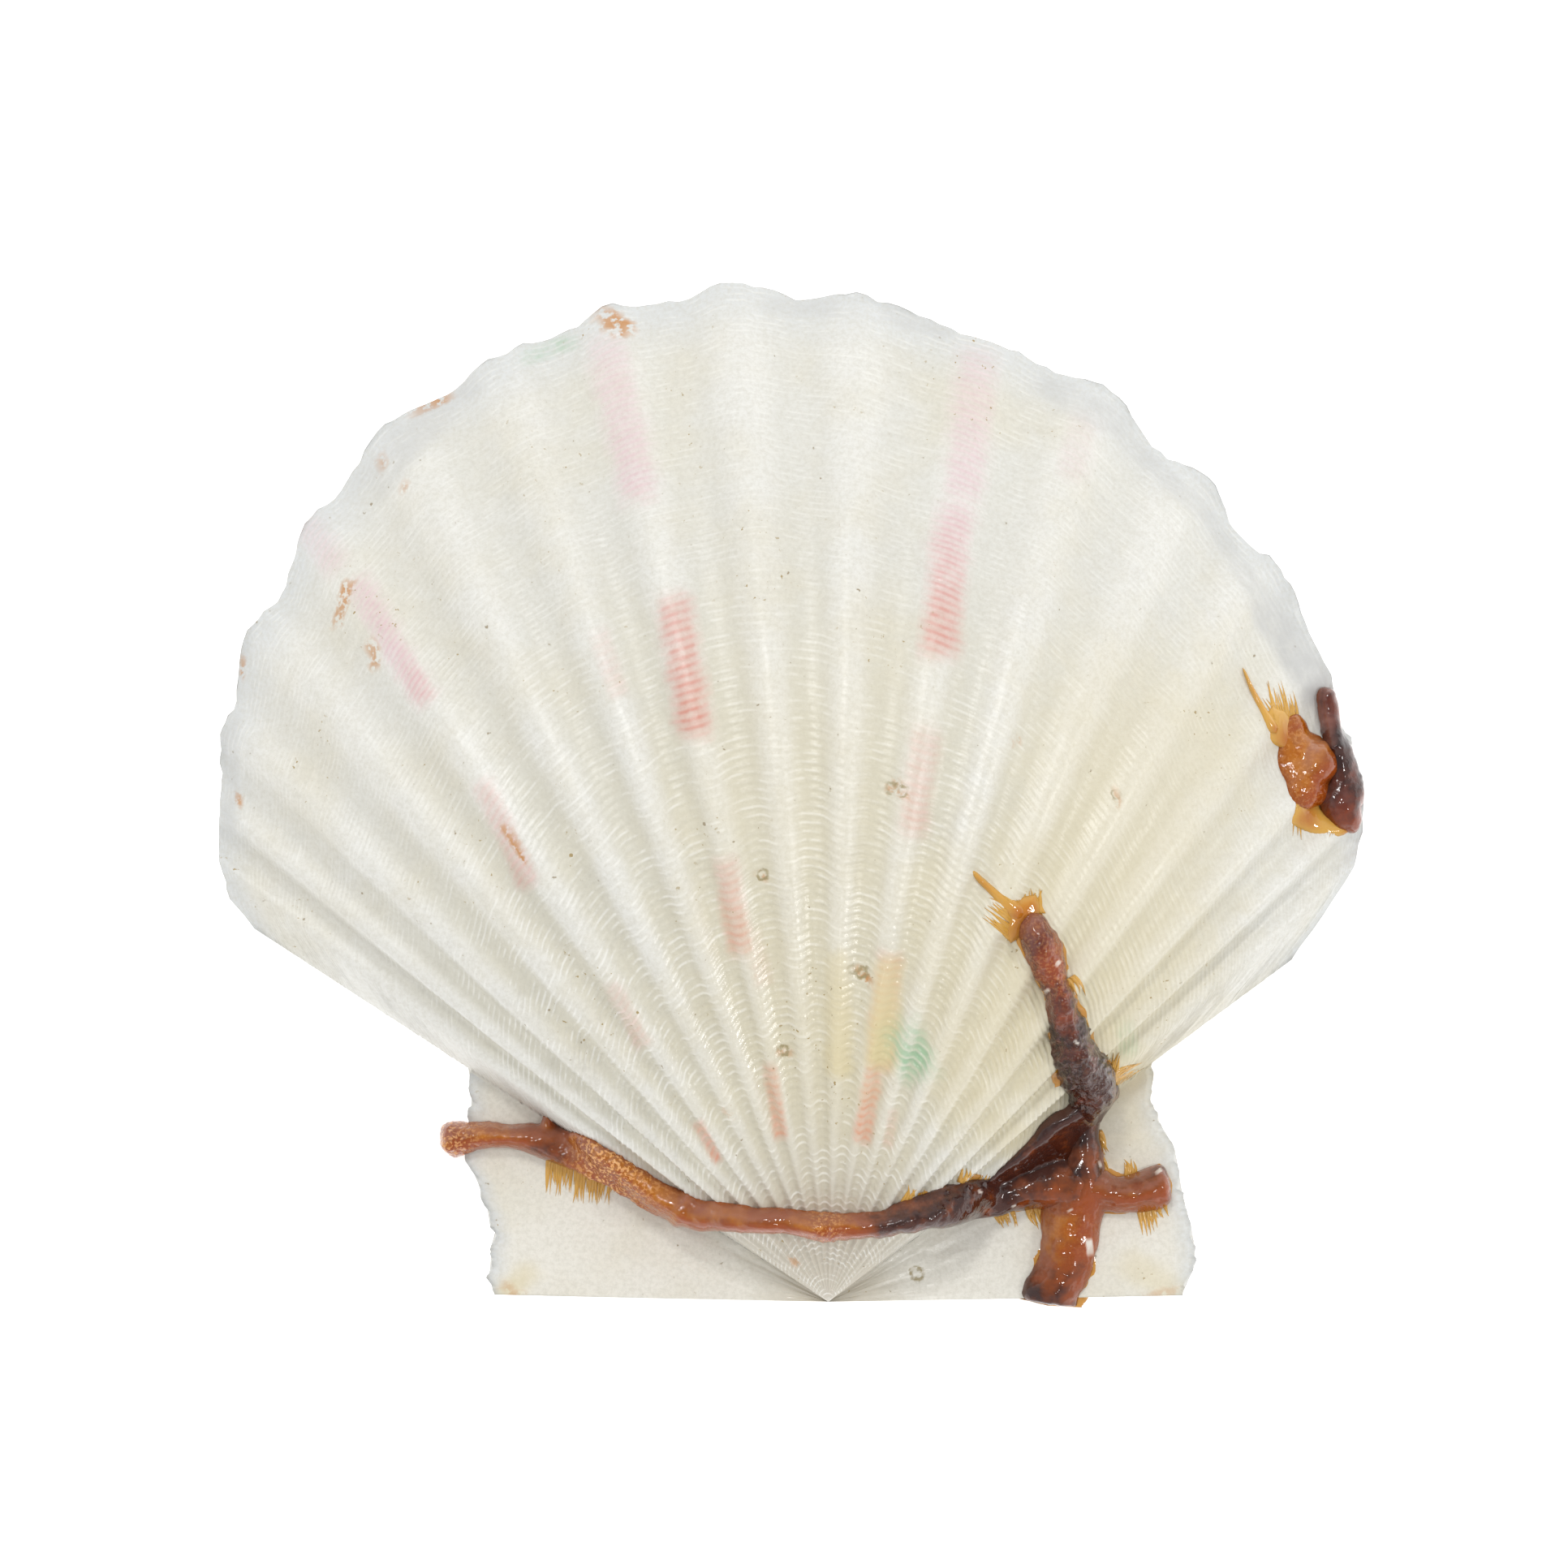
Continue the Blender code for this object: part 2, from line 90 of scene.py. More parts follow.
# Plan of the shell
BEAK = np.array((3.4, -44.3, 0.0)) * MM
RIGHT_FLANK = 36.4
LEFT_FLANK = 147.0
RIGHT_CORNER_REACH = 50.2
LEFT_CORNER_REACH = 59.7
RIGHT_NOTCH_REACH = 35.1
LEFT_NOTCH_REACH = 37.2

# Each rib's angle, and the reach in millimetres at which it meets the free margin
RIBS = (
    (39.6, 59.6), (42.9, 63.4), (47.2, 66.7), (53.2, 70.6), (60.0, 75.4), (66.9, 79.3),
    (73.9, 83.2), (81.0, 85.2), (88.4, 87.4), (95.4, 89.2), (102.8, 88.6), (109.3, 87.3),
    (116.2, 85.6), (123.4, 81.8), (129.8, 77.6), (136.2, 72.6), (140.9, 68.5), (144.2, 65.2),
)

# Outline of each ear from its notch to the hinge line: angle, and reach in millimetres
RIGHT_EAR = (
    (RIGHT_FLANK, RIGHT_NOTCH_REACH), (32.0, 33.4), (28.0, 32.8), (22.0, 32.6), (13.0, 32.1),
    (5.5, 32.0), (0.9, 30.8),
)
LEFT_EAR = (
    (LEFT_FLANK, LEFT_NOTCH_REACH), (151.0, 35.8), (155.1, 34.7), (158.7, 34.0), (161.5, 32.3),
    (165.0, 30.7), (170.0, 29.6), (176.0, 29.7), (178.9, 28.9),
)
MARGIN = ((RIGHT_FLANK, RIGHT_CORNER_REACH), *RIBS, (LEFT_FLANK, LEFT_CORNER_REACH))
# The chipped free margin as it is today: angle, and reach in millimetres
CHIPPED_MARGIN = (
    (RIGHT_FLANK, RIGHT_CORNER_REACH), (38.0, 54.7), (39.6, 59.4), (42.0, 62.7), (44.0, 64.7),
    (47.0, 66.6), (49.0, 67.9), (51.0, 69.9), (52.5, 70.6), (54.0, 71.5), (57.0, 74.2),
    (59.0, 75.3), (61.5, 75.5), (63.0, 76.9), (65.0, 79.1), (68.0, 79.3), (70.0, 80.5),
    (72.0, 82.6), (73.5, 83.6), (76.0, 83.4), (79.0, 84.4), (82.0, 85.1), (84.0, 86.1),
    (86.0, 87.0), (89.5, 88.0), (91.0, 87.3), (93.0, 88.2), (96.0, 89.5), (97.2, 88.5),
    (100.0, 88.3), (102.5, 88.8), (105.0, 87.7), (109.0, 87.4), (111.0, 86.8), (113.0, 85.8),
    (117.0, 85.7), (119.0, 84.2), (121.0, 82.4), (124.0, 81.7), (126.0, 79.6), (128.0, 77.9),
    (131.0, 77.3), (133.0, 75.3), (135.0, 73.3), (137.0, 72.4), (139.0, 70.2), (141.0, 68.4),
    (143.0, 66.7), (145.0, 64.2), (146.0, 63.0), (LEFT_FLANK, LEFT_CORNER_REACH),
)
MIDDLE_RAY = (RIGHT_FLANK + LEFT_FLANK) / 2
HALF_FAN = (LEFT_FLANK - RIGHT_FLANK) / 2
LONGEST_REACH = 89.2 * MM

# Heights of the dome
DOME_HEIGHT = 17.9 * MM
PROFILE_RISE = 0.62
PROFILE_FALL = 1.9
PROFILE_PEAK_SHARE = (PROFILE_RISE / (PROFILE_RISE + PROFILE_FALL)) ** (1 / PROFILE_FALL)
PROFILE_PEAK = PROFILE_PEAK_SHARE**PROFILE_RISE * (1 - PROFILE_PEAK_SHARE**PROFILE_FALL)
CROWN_POWER = 2.2
CROWN_ROUNDNESS = 0.6
EDGE_AT_BEAK = 2.1 * MM
EDGE_TAPER = 0.009
EAR_DROOP = 0.8 * MM
EAR_DROOP_POWER = 3
EAR_BEND = 12.0
RIB_HEIGHT = 0.75 * MM
RIB_GROWTH = 40.0 * MM
CREST_SHARPNESS = 1.3
MARGIN_UPRIGHT = 6

# Wall of the shell
HINGE_THICKNESS = 2.0 * MM
MARGIN_THICKNESS = 0.8 * MM
FOOT_WIDTH = 0.045
HINGE_PLATE_DEPTH = 6.0 * MM
INNER_RIB_GROWTH = 3

# Growth ridges: spacing and height in millimetres, each by reach in millimetres on the longest ray
RIDGE_SPACING = ((0, 0.42), (10, 0.62), (18, 0.75), (63, 0.75), (66, 0.56), (90, 0.56))
RIDGE_HEIGHT = (
    (0, 0.0), (6, 0.02), (16, 0.055), (22, 0.095), (40, 0.085), (50, 0.055), (70, 0.04), (90, 0.018),
)
RIDGE_BEND = 0.26 * MM
RIDGE_JITTER = 0.07 * MM
ROWS_PER_RIDGE = 3

# Growth checks, the coarse steps near the margin: share of the reach, and height in millimetres
GROWTH_CHECKS = ((0.72, 0.05), (0.87, 0.07), (0.905, 0.09), (0.935, 0.06), (0.962, 0.08))
CHECK_WIDTH = 0.004
CHECK_DRIFT = 0.006

# Small relief and broken edges of the shell
SHELL_GRAIN = 0.03 * MM
MARGIN_TEETH = 0.22 * MM
MARGIN_BREAKS_FROM = 0.88
EAR_TEETH = 0.28 * MM
EAR_NICKS = 0.14 * MM
EAR_BREAKS_FROM = 0.9
EAR_LINES = 0.03 * MM
EAR_LINE_COUNT = 24.0
EAR_WAVES = 0.05 * MM
SHELL_BUMP = 0.05 * MM

# Facets of the fine shell
COLUMNS_PER_RIB = 12
FLANK_COLUMNS = 6
INNER_COLUMNS_PER_RIB = 4
INNER_FLANK_COLUMNS = 2
INNER_ROWS = 36
EAR_COLUMNS = 80
EAR_ROWS = 40
INNER_EAR_COLUMNS = 10
INNER_EAR_ROWS = 16
EAR_SEAM = 0.35
MERGE = 0.0002 * MM

# Facets of the glue, and the height from which rays look down for the shell
RAY_HEIGHT = 60.0 * MM
BEAD_STEP = 0.25 * MM
BEAD_COLUMNS = 29
SINK = 0.15 * MM
SKIN_VOXEL = 0.16 * MM
SKIN_ROUNDS = 8
NEAR_SPOTS = 12
STREAK_RINGS = 8
# Rounds of smoothing: of a bead's direction, of the ground it takes its base from, and of its lean
DIRECTION_ROUNDS = 6
BASE_ROUNDS_ALONG = 30
BASE_ROUNDS_ACROSS = 8
LEAN_ROUNDS = 10

# The side away from the top softbox. Glue facing this way is painted with an orange glow of light coming
# through it, and glue facing the other way with a painted sheen.
AWAY = np.array((0.5, -0.85, 0.1))

# How far a mark fades past its ends, as a share of its width
DASH_END = 0.9

# Dashes of pink on some rib crests: both ends, width (all in millimetres) and strength
PINK_DASHES = (
    (-15.7, 38.0, -13.1, 26.7, 3.2, 0.55),
    (-9.7, 15.5, -8.1, 6.2, 2.8, 1.0),
    (-5.3, -6.5, -4.3, -12.8, 2.0, 0.75),
    (-1.6, -23.7, -0.8, -29.0, 1.2, 0.9),
    (16.3, 37.0, 15.0, 26.7, 3.2, 0.5),
    (14.1, 23.5, 12.9, 13.3, 3.0, 0.85),
    (11.5, 4.4, 10.6, -2.3, 2.4, 0.5),
    (8.5, -14.7, 7.7, -22.8, 2.1, 1.0),
    (7.3, -23.2, 6.3, -29.2, 1.5, 1.0),
    (8.9, -27.4, 8.5, -29.9, 0.9, 0.35),
    (-41.6, 22.8, -39.8, 20.3, 2.5, 0.35),
    (-37.1, 17.7, -31.7, 8.7, 2.1, 0.7),
    (-26.0, 0.2, -22.5, -7.3, 1.8, 0.5),
    (-14.9, -16.8, -12.8, -21.1, 1.4, 0.35),
    (-7.7, -28.6, -6.3, -31.3, 0.9, 0.9),
    (-16.1, 13.3, -14.7, 9.0, 1.6, 0.25),
    (25.7, 31.7, 24.5, 28.5, 2.5, 0.2),
    (-3.1, -12.2, -2.3, -15.7, 1.6, 0.2),
)
GREEN_DASHES = (
    (10.0, -21.4, 10.6, -22.7, 3.3, 0.85),
    (-22.6, 38.2, -19.5, 39.2, 1.4, 0.45),
    (29.0, -20.4, 29.4, -22.0, 1.6, 0.3),
)
# Soft yellowish tints of the shell itself
YELLOW_TINTS = (
    (8.4, -15.0, 7.8, -22.4, 3.0, 1.0),
    (30.0, 2.0, 22.0, -22.0, 20.0, 0.5),
    (12.0, -8.0, 16.0, -26.0, 9.0, 0.45),
    (4.1, -14.2, 4.3, -23.4, 2.8, 0.75),
    (2.0, -18.0, 6.0, -25.0, 6.0, 0.35),
    (2.0, 2.0, 3.0, -22.0, 22.0, 0.3),
    (24.0, -17.0, 28.5, -24.0, 7.0, 0.6),
    (14.0, -26.0, 20.0, -30.0, 5.0, 0.5),
    (30.0, -41.0, 33.5, -43.5, 2.5, 0.4),
    (-23.0, -42.0, -24.5, -43.5, 2.0, 0.6),
)
# Bluish grey places at the rim, where the outer layer has chipped off; their grey is partly painted shade
# at the thin rim
CHIPS = (
    (-35.8, 27.6, -31.2, 32.6, 3.2, 0.5),
    (-30.4, 33.2, -27.6, 35.6, 1.6, 0.4),
    (22.4, 35.6, 28.8, 32.0, 2.4, 0.5),
    (29.5, 30.5, 36.5, 24.0, 1.6, 0.45),
    (36.5, 24.0, 41.0, 16.8, 1.6, 0.45),
    (41.5, 16.0, 46.0, 9.0, 3.0, 0.9),
    (-1.5, 42.5, 3.5, 42.3, 1.6, 0.4),
    (8.5, 41.8, 13.5, 40.2, 1.4, 0.4),
    (-48.5, 9.0, -49.0, -3.0, 1.6, 0.4),
)

# Orange-brown stains, most of them at the rim
STAINS = (
    (-15.9, 41.5, -14.6, 40.6, 1.7, 1.0),
    (-32.4, 33.3, -30.0, 34.4, 0.8, 1.0),
    (-39.1, 15.0, -38.3, 17.9, 1.0, 0.9),
    (-36.2, 12.8, -35.7, 11.4, 0.9, 0.8),
    (-35.7, 29.1, -35.4, 28.5, 0.7, 0.7),
    (-33.9, 27.0, -33.5, 26.4, 0.5, 0.6),
    (-24.4, -2.9, -22.7, -5.7, 0.6, 1.0),
    (-48.2, -0.2, -47.8, -0.8, 0.7, 0.8),
    (-47.8, 11.6, -47.6, 10.6, 0.6, 0.7),
    (9.3, 0.9, 8.5, 0.2, 0.6, 0.7),
    (8.5, 0.2, 9.9, -0.2, 0.5, 0.6),
    (28.0, 0.1, 28.0, -0.7, 0.7, 0.6),
    (6.0, -15.0, 6.6, -15.8, 0.8, 0.9),
    (-2.7, -6.8, -2.1, -7.2, 0.5, 0.6),
    (0.0, -22.1, -0.8, -22.0, 0.7, 0.6),
    (0.2, -40.3, 0.5, -40.7, 0.7, 0.6),
    (-5.6, -27.2, -4.9, -27.8, 0.5, 0.4),
    (19.0, 4.2, 19.6, 4.6, 0.4, 0.4),
    (-24.6, -43.0, -23.6, -43.9, 0.9, 0.5),
    (33.5, -43.4, 31.5, -44.0, 0.9, 0.4),
)

# Small round scars, painted as rings that are partly shade: middle and radius in millimetres
PITS = (
    (-2.3, -6.9, 0.4),
    (-0.5, -22.0, 0.4),
    (6.2, -15.3, 0.45),
    (8.7, 0.5, 0.45),
    (9.6, 0.2, 0.4),
    (28.0, -0.1, 0.35),
    (11.1, -41.9, 0.5),
    (5.3, -15.0, 0.35),
)

# Routes of the glue beads along their middles: x, y, width and height in millimetres, then how dark and
# how granular the glue is there, 0 to 1
BAND = (
    (-30.5, -30.4, 3.3, 2.6, 0.3, 1.0),
    (-28.7, -30.1, 3.2, 2.7, 0.25, 0.9),
    (-27.1, -29.9, 2.6, 2.5, 0.25, 0.3),
    (-24.7, -29.8, 2.4, 2.4, 0.3, 0.1),
    (-22.3, -30.1, 2.8, 2.5, 0.5, 0.1),
    (-20.3, -30.6, 3.3, 2.8, 0.75, 0.1),
    (-18.0, -31.3, 3.3, 2.9, 0.35, 0.6),
    (-15.7, -32.3, 3.0, 2.8, 0.1, 1.0),
    (-13.3, -33.7, 2.7, 2.6, 0.05, 0.7),
    (-11.1, -35.0, 2.6, 2.5, 0.05, 0.3),
    (-9.7, -35.6, 2.5, 2.4, 0.1, 0.1),
    (-9.1, -35.9, 2.9, 2.7, 0.1, 0.4),
    (-8.5, -36.0, 2.5, 2.4, 0.15, 0.1),
    (-6.9, -36.3, 2.5, 2.4, 0.25, 0.0),
    (-4.1, -36.6, 2.4, 2.4, 0.3, 0.0),
    (-0.9, -36.8, 2.4, 2.4, 0.35, 0.0),
    (1.9, -37.1, 2.6, 2.5, 0.35, 0.1),
    (3.3, -37.3, 2.8, 2.6, 0.05, 1.0),
    (4.8, -37.3, 2.5, 2.4, 0.5, 0.1),
    (7.6, -37.1, 2.5, 2.5, 0.75, 0.2),
    (10.0, -36.4, 2.8, 2.7, 0.95, 0.35),
    (12.6, -35.7, 3.1, 2.9, 1.0, 0.3),
    (15.3, -35.2, 3.4, 3.0, 1.0, 0.2),
    (17.9, -34.9, 3.5, 3.1, 1.0, 0.15),
    (20.2, -34.4, 4.1, 3.0, 0.8, 0.1),
    (22.5, -34.0, 4.9, 3.0, 0.55, 0.1),
    (24.6, -34.1, 5.2, 3.0, 0.7, 0.1),
    (26.4, -34.5, 4.6, 2.9, 0.65, 0.1),
    (28.0, -34.9, 3.5, 2.8, 0.5, 0.2),
    (29.7, -34.9, 3.4, 2.8, 0.55, 0.1),
    (31.8, -34.4, 3.7, 2.8, 0.6, 0.1),
    (33.4, -34.1, 3.7, 2.6, 0.7, 0.2),
)
SPUR = (
    (-20.4, -29.8, 1.8, 1.6, 0.5, 0.1),
    (-21.0, -28.7, 1.1, 1.1, 0.5, 0.1),
    (-21.4, -27.8, 0.5, 0.5, 0.5, 0.1),
)
LOWER_BRANCH = (
    (22.7, -44.7, 5.3, 1.6, 1.0, 0.2),
    (22.8, -44.0, 5.3, 1.8, 1.0, 0.1),
    (23.1, -43.1, 5.2, 1.9, 0.9, 0.1),
    (23.7, -41.8, 5.1, 2.0, 0.6, 0.1),
    (24.2, -40.4, 5.0, 2.2, 0.45, 0.1),
    (24.5, -38.6, 5.2, 2.4, 0.25, 0.1),
    (24.6, -37.0, 5.6, 2.6, 0.3, 0.1),
    (24.9, -35.3, 5.8, 2.9, 0.65, 0.2),
    (25.4, -33.4, 4.8, 2.9, 0.8, 0.1),
    (25.6, -31.4, 3.6, 2.5, 0.7, 0.1),
    (25.6, -29.4, 3.1, 2.2, 0.85, 0.1),
    (25.4, -27.8, 2.8, 2.0, 1.0, 0.1),
)
UPPER_BRANCH = (
    (25.0, -28.4, 2.0, 1.6, 0.9, 0.3),
    (25.3, -27.3, 2.8, 2.2, 0.95, 0.5),
    (25.7, -25.8, 4.4, 3.0, 1.0, 0.9),
    (25.7, -24.6, 5.2, 3.2, 1.0, 1.0),
    (24.8, -22.8, 4.2, 3.2, 1.0, 1.0),
    (24.1, -20.7, 3.6, 3.0, 0.95, 1.0),
    (23.5, -18.7, 2.9, 2.8, 0.75, 0.7),
    (22.9, -16.7, 2.5, 2.6, 0.55, 0.7),
    (22.2, -15.0, 3.1, 2.7, 0.4, 0.6),
    (21.7, -13.4, 3.8, 2.8, 0.4, 0.3),
    (21.0, -11.8, 3.2, 2.4, 0.35, 0.3),
    (20.9, -10.0, 1.8, 1.4, 0.25, 0.1),
)
WEB = (
    (17.4, -34.4, 2.0, 1.6, 1.0, 0.1),
    (19.6, -33.2, 3.0, 1.9, 1.0, 0.1),
    (21.9, -31.4, 3.8, 2.0, 0.95, 0.1),
    (23.9, -29.4, 4.0, 2.0, 1.0, 0.1),
    (26.0, -27.2, 3.2, 1.8, 1.0, 0.2),
    (28.6, -25.3, 1.4, 0.9, 0.9, 0.1),
)
# The rim's patch: an amber sheet, a flat disc on it, a dark ridge and a short rod with a round end
PATCH = (
    (44.3, 6.9, 1.6, 0.7, 0.1, 0.1),
    (43.9, 5.3, 3.0, 0.9, 0.1, 0.3),
    (44.4, 4.0, 4.4, 1.0, 0.0, 0.2),
    (44.9, 2.2, 4.6, 1.0, 0.0, 0.2),
    (45.1, 0.6, 4.4, 1.0, 0.05, 0.2),
    (45.2, -0.5, 4.0, 0.9, 0.1, 0.3),
    (45.3, -1.4, 2.6, 0.6, 0.0, 0.1),
)
PATCH_DISC = (
    (45.8, 4.7, 3.4, 1.5, 0.3, 0.0),
    (45.9, 2.7, 4.0, 1.7, 0.35, 0.0),
    (46.1, 0.7, 3.4, 1.6, 0.6, 0.0),
)
PATCH_RIDGE = (
    (47.6, 5.0, 2.0, 1.5, 0.9, 0.1),
    (48.0, 3.3, 2.4, 1.8, 0.95, 0.1),
    (48.3, 1.8, 3.0, 2.2, 0.9, 0.2),
    (48.3, 0.5, 3.7, 2.4, 0.75, 0.3),
    (48.1, -0.8, 4.1, 2.4, 0.7, 0.2),
    (48.5, -2.0, 3.1, 1.9, 0.65, 0.1),
    (49.3, -3.5, 1.2, 1.1, 0.2, 0.1),
)
ROD = (
    (46.75, 9.4, 1.9, 1.6, 0.45, 0.0),
    (46.8, 8.2, 2.0, 1.7, 0.5, 0.0),
    (47.0, 6.5, 2.0, 1.7, 0.6, 0.0),
    (47.3, 4.6, 2.0, 1.8, 0.9, 0.1),
    (47.7, 3.0, 2.0, 1.8, 0.95, 0.1),
)
# Thin amber film that shows round the darker beads
BRANCH_TOP_FILM = (
    (18.9, -12.8, 0.5, 0.3, 0.6, 0.0),
    (19.4, -11.4, 2.0, 0.6, 0.65, 0.0),
    (20.1, -10.1, 2.6, 0.8, 0.65, 0.0),
    (21.1, -8.7, 1.0, 0.5, 0.5, 0.0),
)
BRANCH_TIP_FILM = (
    (15.5, -6.5, 0.4, 0.3, 0.5, 0.0),
    (16.4, -7.5, 0.6, 0.4, 0.5, 0.0),
    (17.6, -8.6, 0.8, 0.4, 0.5, 0.0),
    (19.0, -9.8, 1.4, 0.5, 0.6, 0.0),
    (20.0, -10.6, 2.0, 0.5, 0.65, 0.0),
)
PATCH_LEFT_FILM = (
    (39.3, 10.9, 0.3, 0.3, 0.35, 0.0),
    (40.0, 9.3, 0.45, 0.4, 0.35, 0.0),
    (41.0, 7.2, 0.7, 0.5, 0.25, 0.0),
    (42.2, 5.2, 1.2, 0.5, 0.3, 0.0),
)
PATCH_FILM = (
    (42.0, 7.6, 1.4, 0.3, 0.05, 0.0),
    (42.3, 6.4, 2.4, 0.4, 0.1, 0.0),
    (42.8, 5.2, 2.6, 0.5, 0.2, 0.0),
    (43.3, 4.0, 2.2, 0.5, 0.3, 0.0),
)
PATCH_LOW_FILM = (
    (44.0, -0.2, 1.4, 0.4, 0.3, 0.0),
    (44.2, -1.2, 2.8, 0.4, 0.1, 0.0),
    (46.0, -2.5, 2.0, 0.35, 0.1, 0.0),
    (48.6, -3.4, 0.8, 0.3, 0.4, 0.0),
)

# Lengths over which a bead's ends round off
BEAD_END = 0.9 * MM
BLUNT_END = 0.12 * MM
ROUND_END = 1.0 * MM
DISC_END = 1.3 * MM
ROUND = (BEAD_END, BEAD_END)
BLUNT = (BLUNT_END, BEAD_END)

# A bead's section and its lumps. BEAD_LEAN says how far it leans out from a slope, 0 to 1
BEAD_BULGE = 2.1
BEAD_FULLNESS = 0.7
BEAD_LEAN = 0.3
BEAD_WOBBLE = 0.07
BEAD_LUMPS = 0.12
OVERHANG = 0.4
NARROWEST = 0.4 * MM

# Relief of the glue in millimetres: broad swells, lumps where it is smooth, and fine and coarse grains
SWELLS = 0.06
SMOOTH_LUMPS = 0.05
FINE_GRAINS = 0.1
COARSE_GRAINS = 0.16
GLUE_BUMP = 0.22 * MM
GLUE_SHINE = 0.5

# The thin film past a bead's sides, in millimetres, and how dark it is
FILM_HEIGHT = 0.25
FILM_SPREAD = 0.45
FILM_DARK = 0.65
FILM_WOBBLE = 0.16
# The band has film from this station on, and each arm has none at the two stations by the crossing
FILM_STATION = 20
CROSSING_STATIONS = 2

# Pale flecks in the glue: both ends, width (all in millimetres) and strength
FLECKS = (
    (26.2, -39.9, 26.1, -39.1, 0.55, 1.0),
    (32.0, -33.0, 32.3, -32.8, 0.3, 0.9),
    (16.4, -34.4, 16.6, -34.5, 0.25, 0.8),
    (19.4, -35.9, 19.6, -35.8, 0.2, 0.8),
    (24.3, -36.3, 24.5, -36.2, 0.2, 0.7),
    (27.0, -32.1, 27.1, -32.4, 0.25, 0.7),
    (21.9, -17.0, 22.1, -16.8, 0.3, 0.8),
    (22.8, -14.6, 23.0, -14.4, 0.3, 0.8),
    (24.5, -21.2, 24.7, -21.4, 0.25, 0.8),
)

# Brushed streaks of thin glue: root and tip in millimetres, how far the roots spread, how many streaks
# there are and how dark they are
STREAKS = (
    (-19.6, -31.4, -19.9, -35.3, 2.6, 24, 0.3),
    (-17.0, -32.4, -17.3, -36.0, 2.8, 26, 0.3),
    (-15.2, -33.4, -15.3, -35.0, 1.0, 7, 0.25),
    (19.4, -10.2, 16.9, -8.2, 1.2, 7, 0.45),
    (19.2, -11.6, 16.6, -9.6, 1.8, 11, 0.45),
    (20.2, -10.0, 19.2, -8.9, 2.0, 12, 0.45),
    (20.9, -10.0, 20.9, -8.0, 1.6, 10, 0.45),
    (11.0, -35.4, 11.4, -34.0, 2.4, 12, 0.4),
    (16.0, -33.9, 16.4, -32.7, 2.6, 14, 0.4),
    (20.0, -32.6, 20.2, -31.2, 1.4, 8, 0.4),
    (14.2, -36.6, 14.6, -37.8, 1.2, 8, 0.3),
    (18.6, -36.2, 19.2, -38.0, 1.8, 12, 0.4),
    (21.4, -36.2, 22.2, -38.4, 1.3, 9, 0.5),
    (31.0, -35.6, 31.5, -38.6, 1.6, 12, 0.45),
    (32.4, -35.8, 32.8, -37.2, 1.2, 7, 0.3),
    (29.8, -33.2, 29.6, -31.9, 0.9, 6, 0.4),
    (24.0, -16.0, 24.9, -17.6, 0.8, 6, 0.4),
    (24.6, -19.0, 25.4, -20.6, 0.8, 6, 0.4),
    (26.8, -29.8, 27.7, -31.6, 0.8, 8, 0.5),
    (26.8, -31.6, 28.0, -34.0, 0.9, 8, 0.5),
    (27.4, -24.6, 28.0, -22.0, 1.6, 14, 0.45),
    (28.2, -25.0, 31.4, -23.2, 1.2, 9, 0.3),
    (42.6, 5.4, 40.4, 8.8, 0.7, 5, 0.1),
    (43.0, 5.4, 41.9, 10.4, 1.4, 9, 0.05),
    (43.8, 5.6, 43.4, 8.6, 0.9, 6, 0.1),
    (44.9, -0.8, 44.6, -4.0, 1.6, 10, 0.05),
    (47.0, -1.6, 46.8, -4.0, 0.7, 4, 0.3),
)
# Least and greatest half width and height of a streak, and how far its root, its tip and its middle stray
STREAK_HALF_WIDTHS = (0.18 * MM, 0.36 * MM)
STREAK_HEIGHTS = (0.08 * MM, 0.16 * MM)
STREAK_TIP = 0.012 * MM
STREAK_TIP_HEIGHT = 0.03 * MM
ROOT_STRAY = 0.06 * MM
TIP_STRAY = 0.1 * MM
BOW_STRAY = 0.12 * MM
STREAK_SECTION = (-1.0, -0.5, 0.5, 1.0)
# How far a streak starts behind its root, how far the tips fan out and how much a streak may fall short
ROOT_OVERLAP = 0.12
TIP_FAN = 1.15
SHORTFALL = 0.4

# Colours as they look on a screen, 0 to 255
TONES = {
    # Grooves darker than the crest: painted shade in the grooves
    "groove": (203, 200, 186),
    "groove by the rim": (211, 210, 203),
    "crest": (218, 217, 211),
    "ear": (222, 219, 209),
    "mottle": (206, 200, 180),
    "rim": (202, 205, 206),
    "beak": (190, 182, 166),
    "grit": (186, 182, 168),
    # Paler lines on the growth ridges' crests: a painted highlight
    "painted ridge highlight": (234, 233, 227),
    "dash by the beak": (206, 128, 104),
    "dash": (200, 130, 120),
    "dash by the rim": (208, 164, 176),
    "yellow": (208, 194, 150),
    "green": (146, 184, 148),
    "stain": (186, 130, 70),
    "dark speck": (138, 122, 92),
    "brown speck": (160, 140, 96),
    # Scars' rings: brownish, and partly painted shade round their hollows
    "scar with painted shade": (150, 136, 98),
    # Grey of chipped places, partly painted shade at the thin rim
    "chip": (184, 184, 182),
    "inside": (226, 223, 216),
    # Painted light on the glue: a glow of light coming through it, and a sheen toward the top softbox
    "painted orange glow": (166, 68, 0),
    "painted_sheen": (176, 120, 104),
    "gold grain": (230, 176, 112),
    "fleck": (214, 206, 196),
    "floor": (248, 248, 247),
    "floor grain": (252, 252, 252),
}
